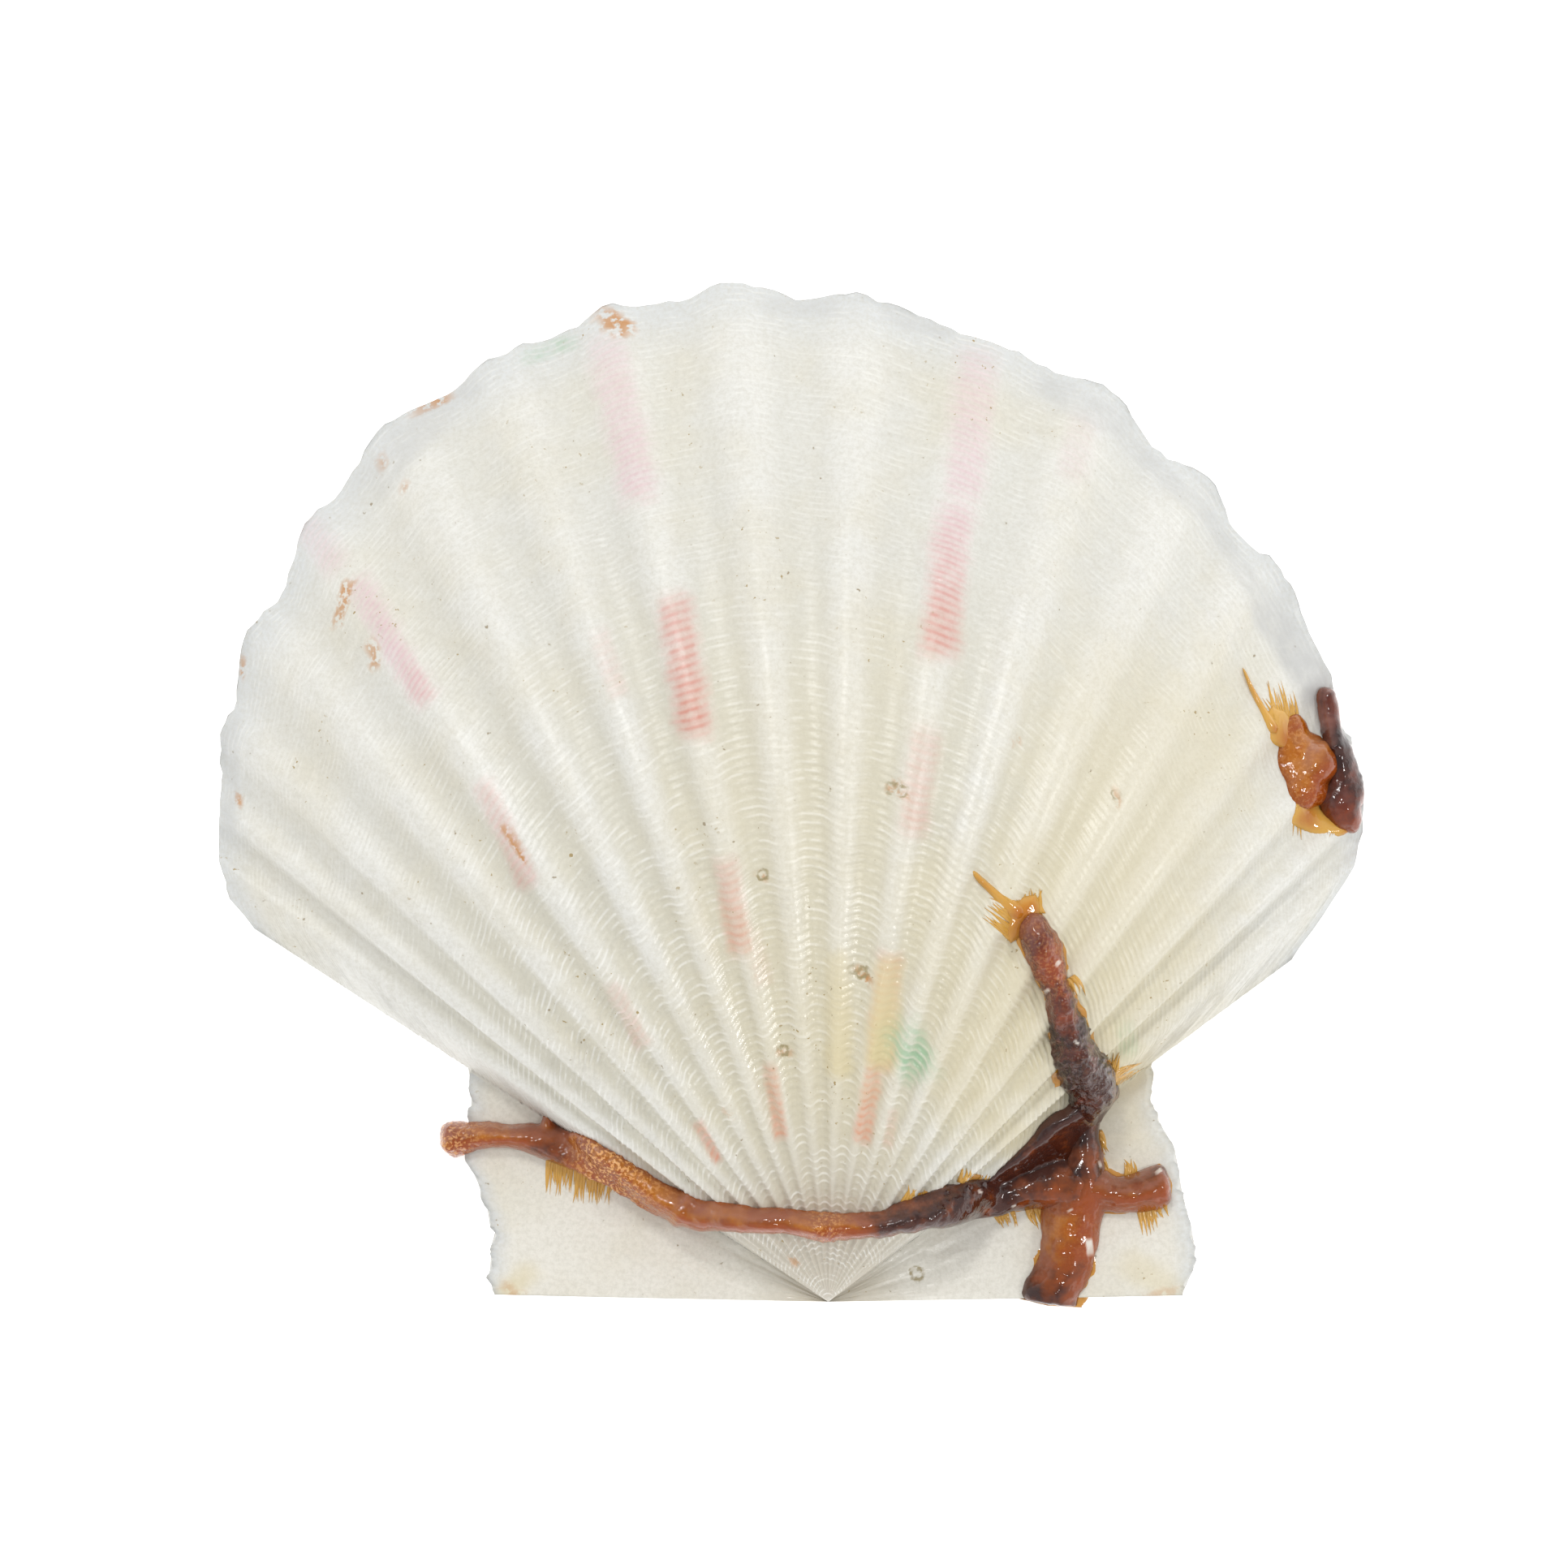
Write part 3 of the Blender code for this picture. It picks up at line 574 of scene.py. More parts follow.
# Each kind of glue: its colours where light, middling and deep, and at thin edges; how clear it is where
# light and where deep, and how much clearer where thin; its absorption per metre, and the colour let through
GLUES = {
    "glue_amber": (
        ((200, 122, 18), (144, 72, 24), (40, 18, 16), (172, 86, 2)),
        (0.3, 0.14, 0.1),
        650.0,
        (0.86, 0.5, 0.08),
    ),
    "glue_dark": (
        ((156, 84, 44), (92, 40, 30), (28, 13, 15), (146, 70, 10)),
        (0.28, 0.12, 0.1),
        800.0,
        (0.75, 0.3, 0.1),
    ),
    "glue_film": (
        ((224, 170, 76), (198, 122, 18), (160, 80, 8), (228, 178, 84)),
        (0.14, 0.12, 0.1),
        1800.0,
        (0.92, 0.65, 0.2),
    ),
}


def mix(first, second, share):
    """The value that lies a share of the way from the first to the second."""
    return first + (second - first) * share


def held(share):
    """A value held between 0 and 1."""
    return np.clip(share, 0.0, 1.0)


def ease(share):
    """A smooth rise from 0 to 1."""
    share = held(share)
    return share * share * (3.0 - 2.0 * share)


def curve_at(pairs, where):
    """Catmull-Rom curve through (knot, value) pairs, read at each place."""
    knots, values = np.array(sorted(pairs)).T
    where = np.clip(where, knots[0], knots[-1])
    start = np.clip(np.searchsorted(knots, where, side="left") - 1, 0, len(knots) - 2)
    turn = (where - knots[start]) / (knots[start + 1] - knots[start])
    p0 = values[np.maximum(start - 1, 0)]
    p1 = values[start]
    p2 = values[start + 1]
    p3 = values[np.minimum(start + 2, len(knots) - 1)]
    square = (2 * p0 - 5 * p1 + 4 * p2 - p3) * turn**2
    cube = (3 * p1 - p0 - 3 * p2 + p3) * turn**3
    return 0.5 * (2 * p1 + (p2 - p0) * turn + square + cube)


def steps_at(pairs, where):
    """Straight runs between (knot, value) pairs, read at each place."""
    knots, values = np.array(pairs, float).T
    return np.interp(where, knots, values)


def lattice_noise(across, along, seed):
    """Smooth noise between -1 and 1 over a plane whose unit is one lump."""
    size = 256
    table = np.random.default_rng(seed).uniform(-1.0, 1.0, (size, size))
    column = np.floor(across).astype(int)
    row = np.floor(along).astype(int)
    tx = ease(across - column)
    ty = ease(along - row)
    near = mix(table[row % size, column % size], table[row % size, (column + 1) % size], tx)
    far = mix(table[(row + 1) % size, column % size], table[(row + 1) % size, (column + 1) % size], tx)
    return mix(near, far, ty)


def fractal(across, along, seed, octaves=3):
    """Lattice noise with finer and fainter layers added. Each use has a seed of its own."""
    total = 0.0
    for octave in range(octaves):
        scale = 2.0**octave
        total = total + lattice_noise(across * scale, along * scale, seed + octave) / scale
    return total


def dash_mask(points, dashes, seed, blur):
    """How strongly a list of soft-edged dashes covers each point, 0 to 1."""
    total = np.zeros(points.shape[:-1])
    x = points[..., 0] / MM
    y = points[..., 1] / MM
    wander = 0.14 * fractal(x * 0.9, y * 0.9, seed)
    for x0, y0, x1, y1, width, strength in dashes:
        length = math.hypot(x1 - x0, y1 - y0)
        along = ((x - x0) * (x1 - x0) + (y - y0) * (y1 - y0)) / length
        across = np.abs((x - x0) * (y1 - y0) - (y - y0) * (x1 - x0)) / length
        past_end = np.maximum(np.maximum(-along, along - length), 0.0) / (width * DASH_END)
        sideways = ease((1.0 + blur / 2 - across / (width / 2) * (1.0 + wander)) / blur)
        growing = mix(0.75, 1.05, held(along / length))
        total = np.maximum(total, strength * growing * sideways * ease(1.0 - past_end * (1.0 + wander)))
    return total


def plan_points(angle, reach):
    """Spots on the ground at angles and reaches from the beak."""
    turned = np.radians(angle)
    return BEAK + np.stack((reach * np.cos(turned), reach * np.sin(turned), np.zeros_like(reach)), axis=-1)


def margin_reach(angle):
    """Reach of the dome's free margin as it grew, before it chipped."""
    return curve_at(MARGIN, angle) * MM


def ear_outline(angle):
    """Reach of the ears' free edges."""
    right = curve_at(RIGHT_EAR, angle)
    left = curve_at(LEFT_EAR, angle)
    return np.where(angle < MIDDLE_RAY, right, left) * MM


def across_fan(angle):
    """-1 at the right flank, 0 in the middle of the fan and 1 at the left flank."""
    return np.clip((angle - MIDDLE_RAY) / HALF_FAN, -1.0, 1.0)


def dome_points(angle, reach):
    """The outer surface of the dome as it would be without ribs."""
    share = held(reach / margin_reach(angle))
    crown = (1.0 - np.abs(across_fan(angle)) ** CROWN_POWER) ** CROWN_ROUNDNESS
    profile = share**PROFILE_RISE * (1.0 - share**PROFILE_FALL) / PROFILE_PEAK
    height = EDGE_AT_BEAK - EDGE_TAPER * reach + DOME_HEIGHT * crown * profile
    return plan_points(angle, reach) + height[..., None] * UP


def unit(vectors):
    """Vectors made one long."""
    return vectors / np.linalg.norm(vectors, axis=-1, keepdims=True)


def dome_normals(angle, reach):
    """Directions out of the dome, read a little inside its edges, where it is smooth."""
    turn = 0.5
    step = 0.3 * MM
    angle = np.clip(angle, RIGHT_FLANK + 2 * turn, LEFT_FLANK - 2 * turn)
    reach = np.minimum(np.maximum(reach, 4 * step), margin_reach(angle) - 2 * step)
    outward = dome_points(angle, reach + step) - dome_points(angle, reach - step)
    sideways = dome_points(angle + turn, reach) - dome_points(angle - turn, reach)
    return unit(np.cross(outward, sideways))


def rib_wave(angle):
    """1 on a rib's crest, -1 in the middle of a groove and 0 along both flanks."""
    crests = np.array([crest for crest, _ in RIBS])
    start = np.clip(np.searchsorted(crests, angle) - 1, 0, len(crests) - 2)
    turn = (angle - crests[start]) / (crests[start + 1] - crests[start])
    wave = 2.0 * (0.5 + 0.5 * np.cos(2 * math.pi * turn)) ** CREST_SHARPNESS - 1.0
    wave = np.where(angle < crests[0], ease((angle - RIGHT_FLANK) / (crests[0] - RIGHT_FLANK)), wave)
    return np.where(angle > crests[-1], ease((LEFT_FLANK - angle) / (LEFT_FLANK - crests[-1])), wave)


def rib_lift(angle, reach):
    """Height of the ribs, which grow out of the smooth beak."""
    return rib_wave(angle) * RIB_HEIGHT * (1.0 - np.exp(-reach / RIB_GROWTH))


def ridge_shares():
    """Shares of the reach at which the dome's rows lie, a few to each ridge, and each row's phase."""
    reaches = np.linspace(0.0, LONGEST_REACH, 4000)
    spacing = steps_at(RIDGE_SPACING, reaches / MM) * MM
    phase = np.concatenate(([0.0], np.cumsum(np.diff(reaches) / spacing[1:])))
    rows = np.arange(0.0, math.floor(phase[-1]) + 0.5 / ROWS_PER_RIDGE, 1.0 / ROWS_PER_RIDGE)
    shares = np.interp(rows, phase * rows[-1] / phase[-1], reaches) / LONGEST_REACH
    return shares, rows


def ridge_lift(angle, share, phase):
    """Relief of the growth ridges, which fade in and out along their length, and of the coarser checks."""
    reach_mm = share * LONGEST_REACH / MM
    profile = np.cos(2 * math.pi * phase)
    worn = 0.7 + 0.5 * fractal(angle / 3.1, reach_mm / 4.0, 11) - 0.25 * rib_wave(angle)
    worn = worn + 0.5 * lattice_noise(angle / 0.7, reach_mm / 0.75, 13)
    lift = steps_at(RIDGE_HEIGHT, reach_mm) * MM * profile * np.clip(worn, 0.05, 1.4)
    for place, height in GROWTH_CHECKS:
        drift = place + CHECK_DRIFT * fractal(angle / 9.0, place * 70.0, 23)
        step = np.exp(-(((share - drift) / CHECK_WIDTH) ** 2))
        broken = np.clip(0.6 + 0.9 * lattice_noise(angle / 5.0, place * 90.0, 31), 0.0, 1.3)
        lift = lift + height * MM * step * broken
    return lift


def ragged(angle, share):
    """How far the broken free margin draws in from its smooth outline."""
    chips = margin_reach(angle) - curve_at(CHIPPED_MARGIN, angle) * MM
    teeth = MARGIN_TEETH * fractal(angle * 1.4, 3.0, 41)
    near_edge = held((share - MARGIN_BREAKS_FROM) / (1.0 - MARGIN_BREAKS_FROM))
    return (chips + teeth) * near_edge**2


def outer_dome(angle, share, phase):
    """The finished outer surface of the dome."""
    arch = np.sin(math.pi / 2 * rib_wave(angle))
    bend = RIDGE_BEND * arch * np.sin(math.pi * held(share * 1.15))
    bend = bend + RIDGE_JITTER * fractal(angle / 2.6, share * 30.0, 43)
    fade = held(share * 5.0) * held((1.0 - share) * 12.0)
    reach = share * margin_reach(angle) - bend * fade - ragged(angle, share)
    direction = unit(mix(dome_normals(angle, reach), UP, (share**MARGIN_UPRIGHT)[..., None]))
    lift = rib_lift(angle, reach) + ridge_lift(angle, share, phase)
    lift = lift + SHELL_GRAIN * fractal(angle / 1.3, share * 60.0, 51) * held(share * 4.0)
    return dome_points(angle, reach) + direction * lift[..., None]


def inner_dome(angle, share):
    """The inner surface: flat under the hinge and both flanks, and hollow under the dome."""
    reach = share * margin_reach(angle) - ragged(angle, share)
    foot = ease((1.0 - np.abs(across_fan(angle))) / FOOT_WIDTH)
    wall = mix(HINGE_THICKNESS, MARGIN_THICKNESS, share) * foot
    points = dome_points(angle, reach) - dome_normals(angle, reach) * wall[..., None]
    plate = ease((points[..., 1] - BEAK[1]) / HINGE_PLATE_DEPTH)
    height = (points[..., 2] + rib_lift(angle, reach) * share**INNER_RIB_GROWTH) * foot * plate
    points[..., 2] = np.maximum(height, 0.0)
    return points


def ear_points(angle, share):
    """The upper side of an ear, with its growth lines, drooping toward its free edge."""
    edge = ear_outline(angle)
    flank = np.where(angle < MIDDLE_RAY, RIGHT_FLANK, LEFT_FLANK)
    teeth = EAR_TEETH * fractal(angle * 0.55, 7.0, 61, 4)
    teeth = teeth + EAR_NICKS * lattice_noise(angle * 1.7, 5.0, 67)
    reach = share * edge + teeth * held((share - EAR_BREAKS_FROM) / (1.0 - EAR_BREAKS_FROM))
    off_flank = np.minimum(np.abs(angle - flank) / EAR_BEND, 1.0)
    height = EDGE_AT_BEAK - EDGE_TAPER * reach - EAR_DROOP * ease(off_flank) * share**EAR_DROOP_POWER
    wander = 1.5 * fractal(angle / 12.0, share * 9.0, 71)
    lines = EAR_LINES * np.cos(2 * math.pi * share * EAR_LINE_COUNT + wander) * held(share * 3.0)
    waves = EAR_WAVES * fractal(angle / 4.0, share * 12.0, 81)
    height = height + (lines + waves) * ease(off_flank * 4.0)
    return plan_points(angle, reach) + height[..., None] * UP


def add_object(name, data):
    """Puts a mesh, a lamp or a camera into the scene."""
    added = bpy.data.objects.new(name, data)
    bpy.context.scene.collection.objects.link(added)
    return added


def new_mesh(name, points, faces):
    """A mesh kept inside the solids' box."""
    mesh = bpy.data.meshes.new(name)
    mesh.from_pydata(np.clip(points, *CAD_BOX).tolist(), [], faces)
    return mesh


def face_out(mesh, merge=False):
    """Merges a mesh's points that meet, where asked, turns its faces out and shades it smooth."""
    bm = bmesh.new()
    bm.from_mesh(mesh)
    if merge:
        bmesh.ops.remove_doubles(bm, verts=bm.verts, dist=MERGE)
    bmesh.ops.recalc_face_normals(bm, faces=bm.faces)
    bm.to_mesh(mesh)
    bm.free()
    mesh.shade_smooth()


class Sheet:
    """Points, their attributes and faces, gathered grid by grid into one mesh."""

    def __init__(self, names):
        self.points = []
        self.values = {name: [] for name in names}
        self.faces = []
        self.count = 0

    def add_grid(self, points, **values):
        """Adds a grid of quads and gives back the number of each of its points."""
        rows, columns = points.shape[:2]
        numbers = self.count + np.arange(rows * columns).reshape(rows, columns)
        self.points.append(points.reshape(-1, 3))
        for name, kept in self.values.items():
            kept.append(np.broadcast_to(values[name], (rows, columns)).ravel())
        corners = numbers[:-1, :-1], numbers[:-1, 1:], numbers[1:, 1:], numbers[1:, :-1]
        self.faces += np.stack(corners, axis=-1).reshape(-1, 4).tolist()
        self.count += rows * columns
        return numbers

    def zip_chains(self, first, second):
        """Fills the strip between two chains of points that run the same way."""
        points = np.concatenate(self.points)
        places = []
        for chain in (first, second):
            lengths = np.linalg.norm(np.diff(points[chain], axis=0), axis=1)
            places.append(np.concatenate(([0.0], np.cumsum(lengths))) / lengths.sum())
        i = 0
        j = 0
        last_i = len(first) - 1
        last_j = len(second) - 1
        while i < last_i or j < last_j:
            step_first = j == last_j or (i < last_i and places[0][i + 1] <= places[1][j + 1])
            ahead = first[i + 1] if step_first else second[j + 1]
            self.faces.append([int(first[i]), int(second[j]), int(ahead)])
            i += step_first
            j += not step_first

    def make(self, name):
        """The finished mesh, with points that meet merged and faces out."""
        mesh = new_mesh(name, np.concatenate(self.points), self.faces)
        for label, kept in self.values.items():
            add_values(mesh, label, np.concatenate(kept))
        face_out(mesh, True)
        return mesh


def fan_angles(per_rib, per_flank):
    """Angles of the dome's columns: on each crest, in each groove and evenly between them."""
    stops = [(RIGHT_FLANK, per_flank)]
    stops += [(crest, per_rib) for crest, _ in RIBS[:-1]]
    stops += [(RIBS[-1][0], per_flank), (LEFT_FLANK, 0)]
    angles = []
    for (low, count), (high, _) in zip(stops, stops[1:]):
        angles += [mix(low, high, step / count) for step in range(count)]
    return np.array(angles + [LEFT_FLANK])


def notch_row(shares, corner_reach, notch_reach):
    """The row of the dome at which an ear's notch meets the flank."""
    return int(np.argmin(np.abs(shares - notch_reach / corner_reach)))


def shell_side(sheet, outer):
    """Adds the shell's outer or inner side, dome and both ears, and gives the seven runs of its edge."""
    if outer:
        angles = fan_angles(COLUMNS_PER_RIB, FLANK_COLUMNS)
        shares, phases = ridge_shares()
        ear_columns, ear_rows = EAR_COLUMNS, EAR_ROWS
    else:
        angles = fan_angles(INNER_COLUMNS_PER_RIB, INNER_FLANK_COLUMNS)
        shares = np.linspace(0.0, 1.0, INNER_ROWS)
        phases = 0.0 * shares
        ear_columns, ear_rows = INNER_EAR_COLUMNS, INNER_EAR_ROWS
    right_notch = notch_row(shares, RIGHT_CORNER_REACH, RIGHT_NOTCH_REACH)
    left_notch = notch_row(shares, LEFT_CORNER_REACH, LEFT_NOTCH_REACH)
    angle, share = np.meshgrid(angles, shares)
    phase = np.broadcast_to(phases[:, None], angle.shape)
    points = outer_dome(angle, share, phase) if outer else inner_dome(angle, share)
    inner = 0.0 if outer else 1.0
    ridge = 0.5 + 0.5 * np.cos(2 * math.pi * phase)
    dome = sheet.add_grid(points, share=share, crest=rib_wave(angle), ridge=ridge, inner=inner, ear=0.0)
    ears = []
    for outline, flank_run, side in (
        (RIGHT_EAR, dome[: right_notch + 1, 0], -1),
        (LEFT_EAR, dome[: left_notch + 1, -1], 1),
    ):
        start = outline[0][0] + side * EAR_SEAM
        ear_angles = np.linspace(start, outline[-1][0], ear_columns)
        ear_shares = np.linspace(0.0, 1.0, ear_rows)
        angle, share = np.meshgrid(ear_angles, ear_shares)
        points = ear_points(angle, share)
        if not outer:
            points[..., 2] = 0.0
        ear = sheet.add_grid(points, share=share, crest=0.0, ridge=0.0, inner=inner, ear=1.0)
        sheet.zip_chains(flank_run, ear[:, 0])
        ears.append(ear)
    right, left = ears
    return (
        right[:, -1],
        np.append(right[-1, ::-1], dome[right_notch, 0]),
        dome[right_notch:, 0],
        dome[-1, :],
        dome[left_notch:, -1][::-1],
        np.append(dome[left_notch, -1], left[-1, :]),
        left[::-1, -1],
    )


def add_values(mesh, name, values):
    """Keeps a number for each point of a mesh, for its material to read."""
    layer = mesh.attributes.new(name, "FLOAT", "POINT")
    layer.data.foreach_set("value", np.asarray(values, np.float32).ravel())


def vectors_of(items, label):
    """A vector that each of a mesh's items keeps, such as its place or its normal."""
    numbers = np.empty(len(items) * 3, np.float32)
    items.foreach_get(label, numbers)
    return numbers.reshape(-1, 3).astype(float)


def mesh_points(mesh):
    return vectors_of(mesh.vertices, "co")


def mesh_normals(mesh):
    return vectors_of(mesh.vertex_normals, "vector")


def shell_mesh():
    """The whole shell, closed along its edge, with its marks."""
    sheet = Sheet(("share", "crest", "ridge", "inner", "ear"))
    for outer_run, inner_run in zip(shell_side(sheet, True), shell_side(sheet, False)):
        sheet.zip_chains(outer_run, inner_run)
    mesh = sheet.make("valve_shell")
    points = mesh_points(mesh)
    outer = 1.0 - np.array([value.value for value in mesh.attributes["inner"].data])
    marks = (
        ("pink", PINK_DASHES, 1.0),
        ("green", GREEN_DASHES, 0.9),
        ("yellow", YELLOW_TINTS, 1.6),
        ("stain", STAINS, 0.6),
        ("chip", CHIPS, 1.0),
    )
    for seed, (name, dashes, blur) in enumerate(marks):
        add_values(mesh, name, dash_mask(points, dashes, 101 + 7 * seed, blur) * outer)
    return mesh


class Ground:
    """The top of the finished shell, on which the glue lies."""

    def __init__(self, mesh):
        polygons = [tuple(face.vertices) for face in mesh.polygons]
        self.tree = BVHTree.FromPolygons([vertex.co for vertex in mesh.vertices], polygons)

    def spot(self, x, y):
        """The shell's height under a plan position, and 1 if it reaches that far."""
        hit = self.tree.ray_cast(Vector((x, y, RAY_HEIGHT)), Vector((0, 0, -1)))[0]
        if hit is not None:
            return hit.z, 1.0
        near = self.tree.find_nearest(Vector((x, y, EDGE_AT_BEAK / 2)))[0]
        return near.z, 0.0

    def under(self, points):
        """Heights of the shell under a grid of plan positions, and 1 where it reaches that far."""
        found = np.array([self.spot(x, y) for x, y in points.reshape(-1, points.shape[-1])[:, :2]])
        return found[:, 0].reshape(points.shape[:-1]), found[:, 1].reshape(points.shape[:-1])


def evened(grid, rounds, axis=0):
    """A grid smoothed along one axis, with its ends held."""
    grid = np.moveaxis(grid, axis, 0)
    for _ in range(rounds):
        padded = np.concatenate((grid[:1], grid, grid[-1:]))
        grid = 0.25 * padded[:-2] + 0.5 * padded[1:-1] + 0.25 * padded[2:]
    return np.moveaxis(grid, 0, axis)


def walk(route):
    """Even steps along a route: middles, directions, the stations' other columns and the length walked."""
    stations = np.arange(len(route))
    fine = np.linspace(0, len(route) - 1, 40 * len(route))
    columns = [curve_at(tuple(zip(stations, column)), fine) for column in np.array(route).T]
    steps = np.hypot(np.diff(columns[0]), np.diff(columns[1])) * MM
    walked = np.concatenate(([0.0], np.cumsum(steps)))
    even = np.linspace(0.0, walked[-1], max(int(walked[-1] / BEAD_STEP), 4))
    x, y, width, height, dark, grain = (np.interp(even, walked, column) for column in columns)
    middles = np.stack((x, y, 0 * x), axis=-1) * MM
    along = unit(evened(np.gradient(middles, axis=0), DIRECTION_ROUNDS))
    return middles, along, width / 2 * MM, height * MM, dark, grain, even


def film_under(route):
    """The route of the thin film that shows past a bead's sides."""
    return [(x, y, width + FILM_SPREAD, FILM_HEIGHT, FILM_DARK, 0.0) for x, y, width, *_ in route]


def bead_rings(route, ends, ground, seed, thin=False):
    """Rings round a bead or, if thin, a film of glue on the shell, and how dark and grainy each ring is."""
    middles, along, half_width, height, dark, grain, walked = walk(route)
    side = np.cross(along, UP)
    across = np.sin(np.linspace(-0.5, 0.5, BEAD_COLUMNS) * math.pi)
    to_ends = np.stack((walked / ends[0], (walked[-1] - walked) / ends[1]))
    end = np.sqrt(np.clip(1.0 - (1.0 - held(to_ends)) ** 2, 0.01, 1.0)).prod(axis=0)
    steps = walked / MM
    rough, octaves = (FILM_WOBBLE, 4) if thin else (BEAD_WOBBLE, 2)
    wobble = [1.0 + rough * fractal(steps * 0.5, 5.0, seed + turn, octaves) for turn in (0, 10)]
    wobble = np.where(across[None, :] < 0, wobble[0][:, None], wobble[1][:, None])
    stretch = wobble * (half_width * end)[:, None]
    points = middles[:, None, :] + side[:, None, :] * (across[None, :] * stretch)[..., None]
    level, on_shell = ground.under(points)
    base = evened(evened(level, BASE_ROUNDS_ALONG, 0), BASE_ROUNDS_ACROSS, 1)
    slope_along = np.gradient(base, walked, axis=0).mean(axis=1)
    widths = np.linalg.norm((points[:, -1] - points[:, 0])[:, :2], axis=1)
    slope_across = (base[:, -1] - base[:, 0]) / np.maximum(widths, NARROWEST)
    out = UP - BEAD_LEAN * (along * slope_along[:, None] + side * slope_across[:, None])
    out = evened(unit(out), LEAN_ROUNDS)
    profile = (1.0 - np.abs(across) ** BEAD_BULGE) ** BEAD_FULLNESS
    lumps = 1.0 + BEAD_LUMPS * fractal(steps[:, None] * 0.35, across[None, :] * 0.6, seed + 20, 3)
    rise = height[:, None] * profile[None, :] * end[:, None] * lumps
    crown = profile[None, :] ** 0.5
    top = points.copy()
    top[..., 2] = mix(level, base, crown) - SINK * (1.0 - crown)
    top = top + out[:, None, :] * rise[..., None]
    under = points.copy()
    belly = (1.0 - on_shell) * profile[None, :] * end[:, None] * height[:, None]
    under[..., 2] = np.minimum(level, top[..., 2]) - SINK - OVERHANG * belly
    return np.concatenate((top, under[:, -2:0:-1]), axis=1), dark, grain


def ring_faces(rows, columns, first=0):
    """Faces of a tube of rings with closed ends, whose points are numbered from first."""
    numbers = first + np.arange(rows * columns).reshape(rows, columns)
    turned = np.roll(numbers, -1, axis=1)
    faces = np.stack((numbers[:-1], turned[:-1], turned[1:], numbers[1:]), axis=-1).reshape(-1, 4).tolist()
    return faces + [numbers[0, ::-1].tolist(), numbers[-1].tolist()]


def joined(name, tubes):
    """One mesh of several tubes of rings, still overlapping."""
    faces = []
    first = 0
    for rings in tubes:
        rows, columns = rings.shape[:2]
        faces += ring_faces(rows, columns, first)
        first += rows * columns
    mesh = bpy.data.meshes.new(name)
    mesh.from_pydata(np.concatenate([rings.reshape(-1, 3) for rings in tubes]).tolist(), [], faces)
    face_out(mesh)
    return mesh


def skinned(mesh):
    """One even skin round a mesh whose parts overlap."""
    name = mesh.name
    holder = add_object("holder", mesh)
    remesh = holder.modifiers.new("skin", "REMESH")
    remesh.mode = "VOXEL"
    remesh.voxel_size = SKIN_VOXEL
    skin = bpy.data.meshes.new_from_object(holder.evaluated_get(bpy.context.evaluated_depsgraph_get()))
    bpy.data.objects.remove(holder)
    bpy.data.meshes.remove(mesh)
    skin.name = name
    return skin


def relaxed(mesh, values, rounds):
    """Values at a mesh's points, drawn toward the average of their neighbours' values."""
    ends = np.empty(len(mesh.edges) * 2, np.int32)
    mesh.edges.foreach_get("vertices", ends)
    first, second = ends.reshape(-1, 2).T
    neighbours = np.bincount(ends, minlength=len(values))[:, None]
    for _ in range(rounds):
        total = np.zeros_like(values)
        np.add.at(total, first, values[second])
        np.add.at(total, second, values[first])
        values = mix(values, total / neighbours, 0.5)
    return values


def set_points(mesh, points):
    """Moves a mesh's points, kept inside the solids' box."""
    mesh.vertices.foreach_set("co", np.clip(points, *CAD_BOX).astype(np.float32).ravel())
    mesh.update()


def nearest_facts(points, tubes, darks, grains):
    """How dark and grainy the beads are near each point."""
    spots = np.concatenate([rings.mean(axis=1) for rings in tubes])
    facts = np.column_stack((np.concatenate(darks), np.concatenate(grains)))
    tree = KDTree(len(spots))
    for number, spot in enumerate(spots):
        tree.insert(spot, number)
    tree.balance()
    near = [[number for _, number, _ in tree.find_n(point, NEAR_SPOTS)] for point in points]
    return facts[np.array(near)].mean(axis=1)


def finish_glue(mesh, ground, dark, grain):
    """Gives the glue's points their facts, with its thickness in millimetres and how far it faces away from
    the top softbox, which sets its painted glow and painted sheen.
    """
    points = mesh_points(mesh)
    add_values(mesh, "fleck", dash_mask(points, FLECKS, 171, 0.5))
    add_values(mesh, "dark", dark)
    add_values(mesh, "grain", grain)
    add_values(mesh, "thick", (points[:, 2] - ground.under(points)[0]) / MM)
    add_values(mesh, "away", mesh_normals(mesh) @ AWAY)


def glue_mesh(name, routes, ground, seed):
    """Beads of glue run together into one piece, with fillets where they meet, lumps and grains."""
    beads = [bead_rings(*route, ground, seed + 60 * turn) for turn, route in enumerate(routes)]
    tubes, darks, grains = zip(*beads)
    mesh = skinned(joined(name, tubes))
    points = relaxed(mesh, mesh_points(mesh), SKIN_ROUNDS)
    facts = relaxed(mesh, nearest_facts(points, tubes, darks, grains), SKIN_ROUNDS)
    set_points(mesh, points)
    dark, grain = facts.T
    x, y = points[:, 0] / MM, points[:, 1] / MM
    coarse = fractal(x * 1.3, y * 1.3, seed + 30, 2)
    fine = fractal(x * 3.1, y * 3.1, seed + 40, 2)
    lift = SWELLS * fractal(x * 0.7, y * 0.7, seed + 50, 2) + SMOOTH_LUMPS * coarse * (1.0 - grain)
    lift = lift + grain * (FINE_GRAINS * fine + COARSE_GRAINS * dark * coarse)
    set_points(mesh, points + mesh_normals(mesh) * (lift * MM)[:, None])
    mesh.shade_smooth()
    finish_glue(mesh, ground, dark, grain)
    return mesh


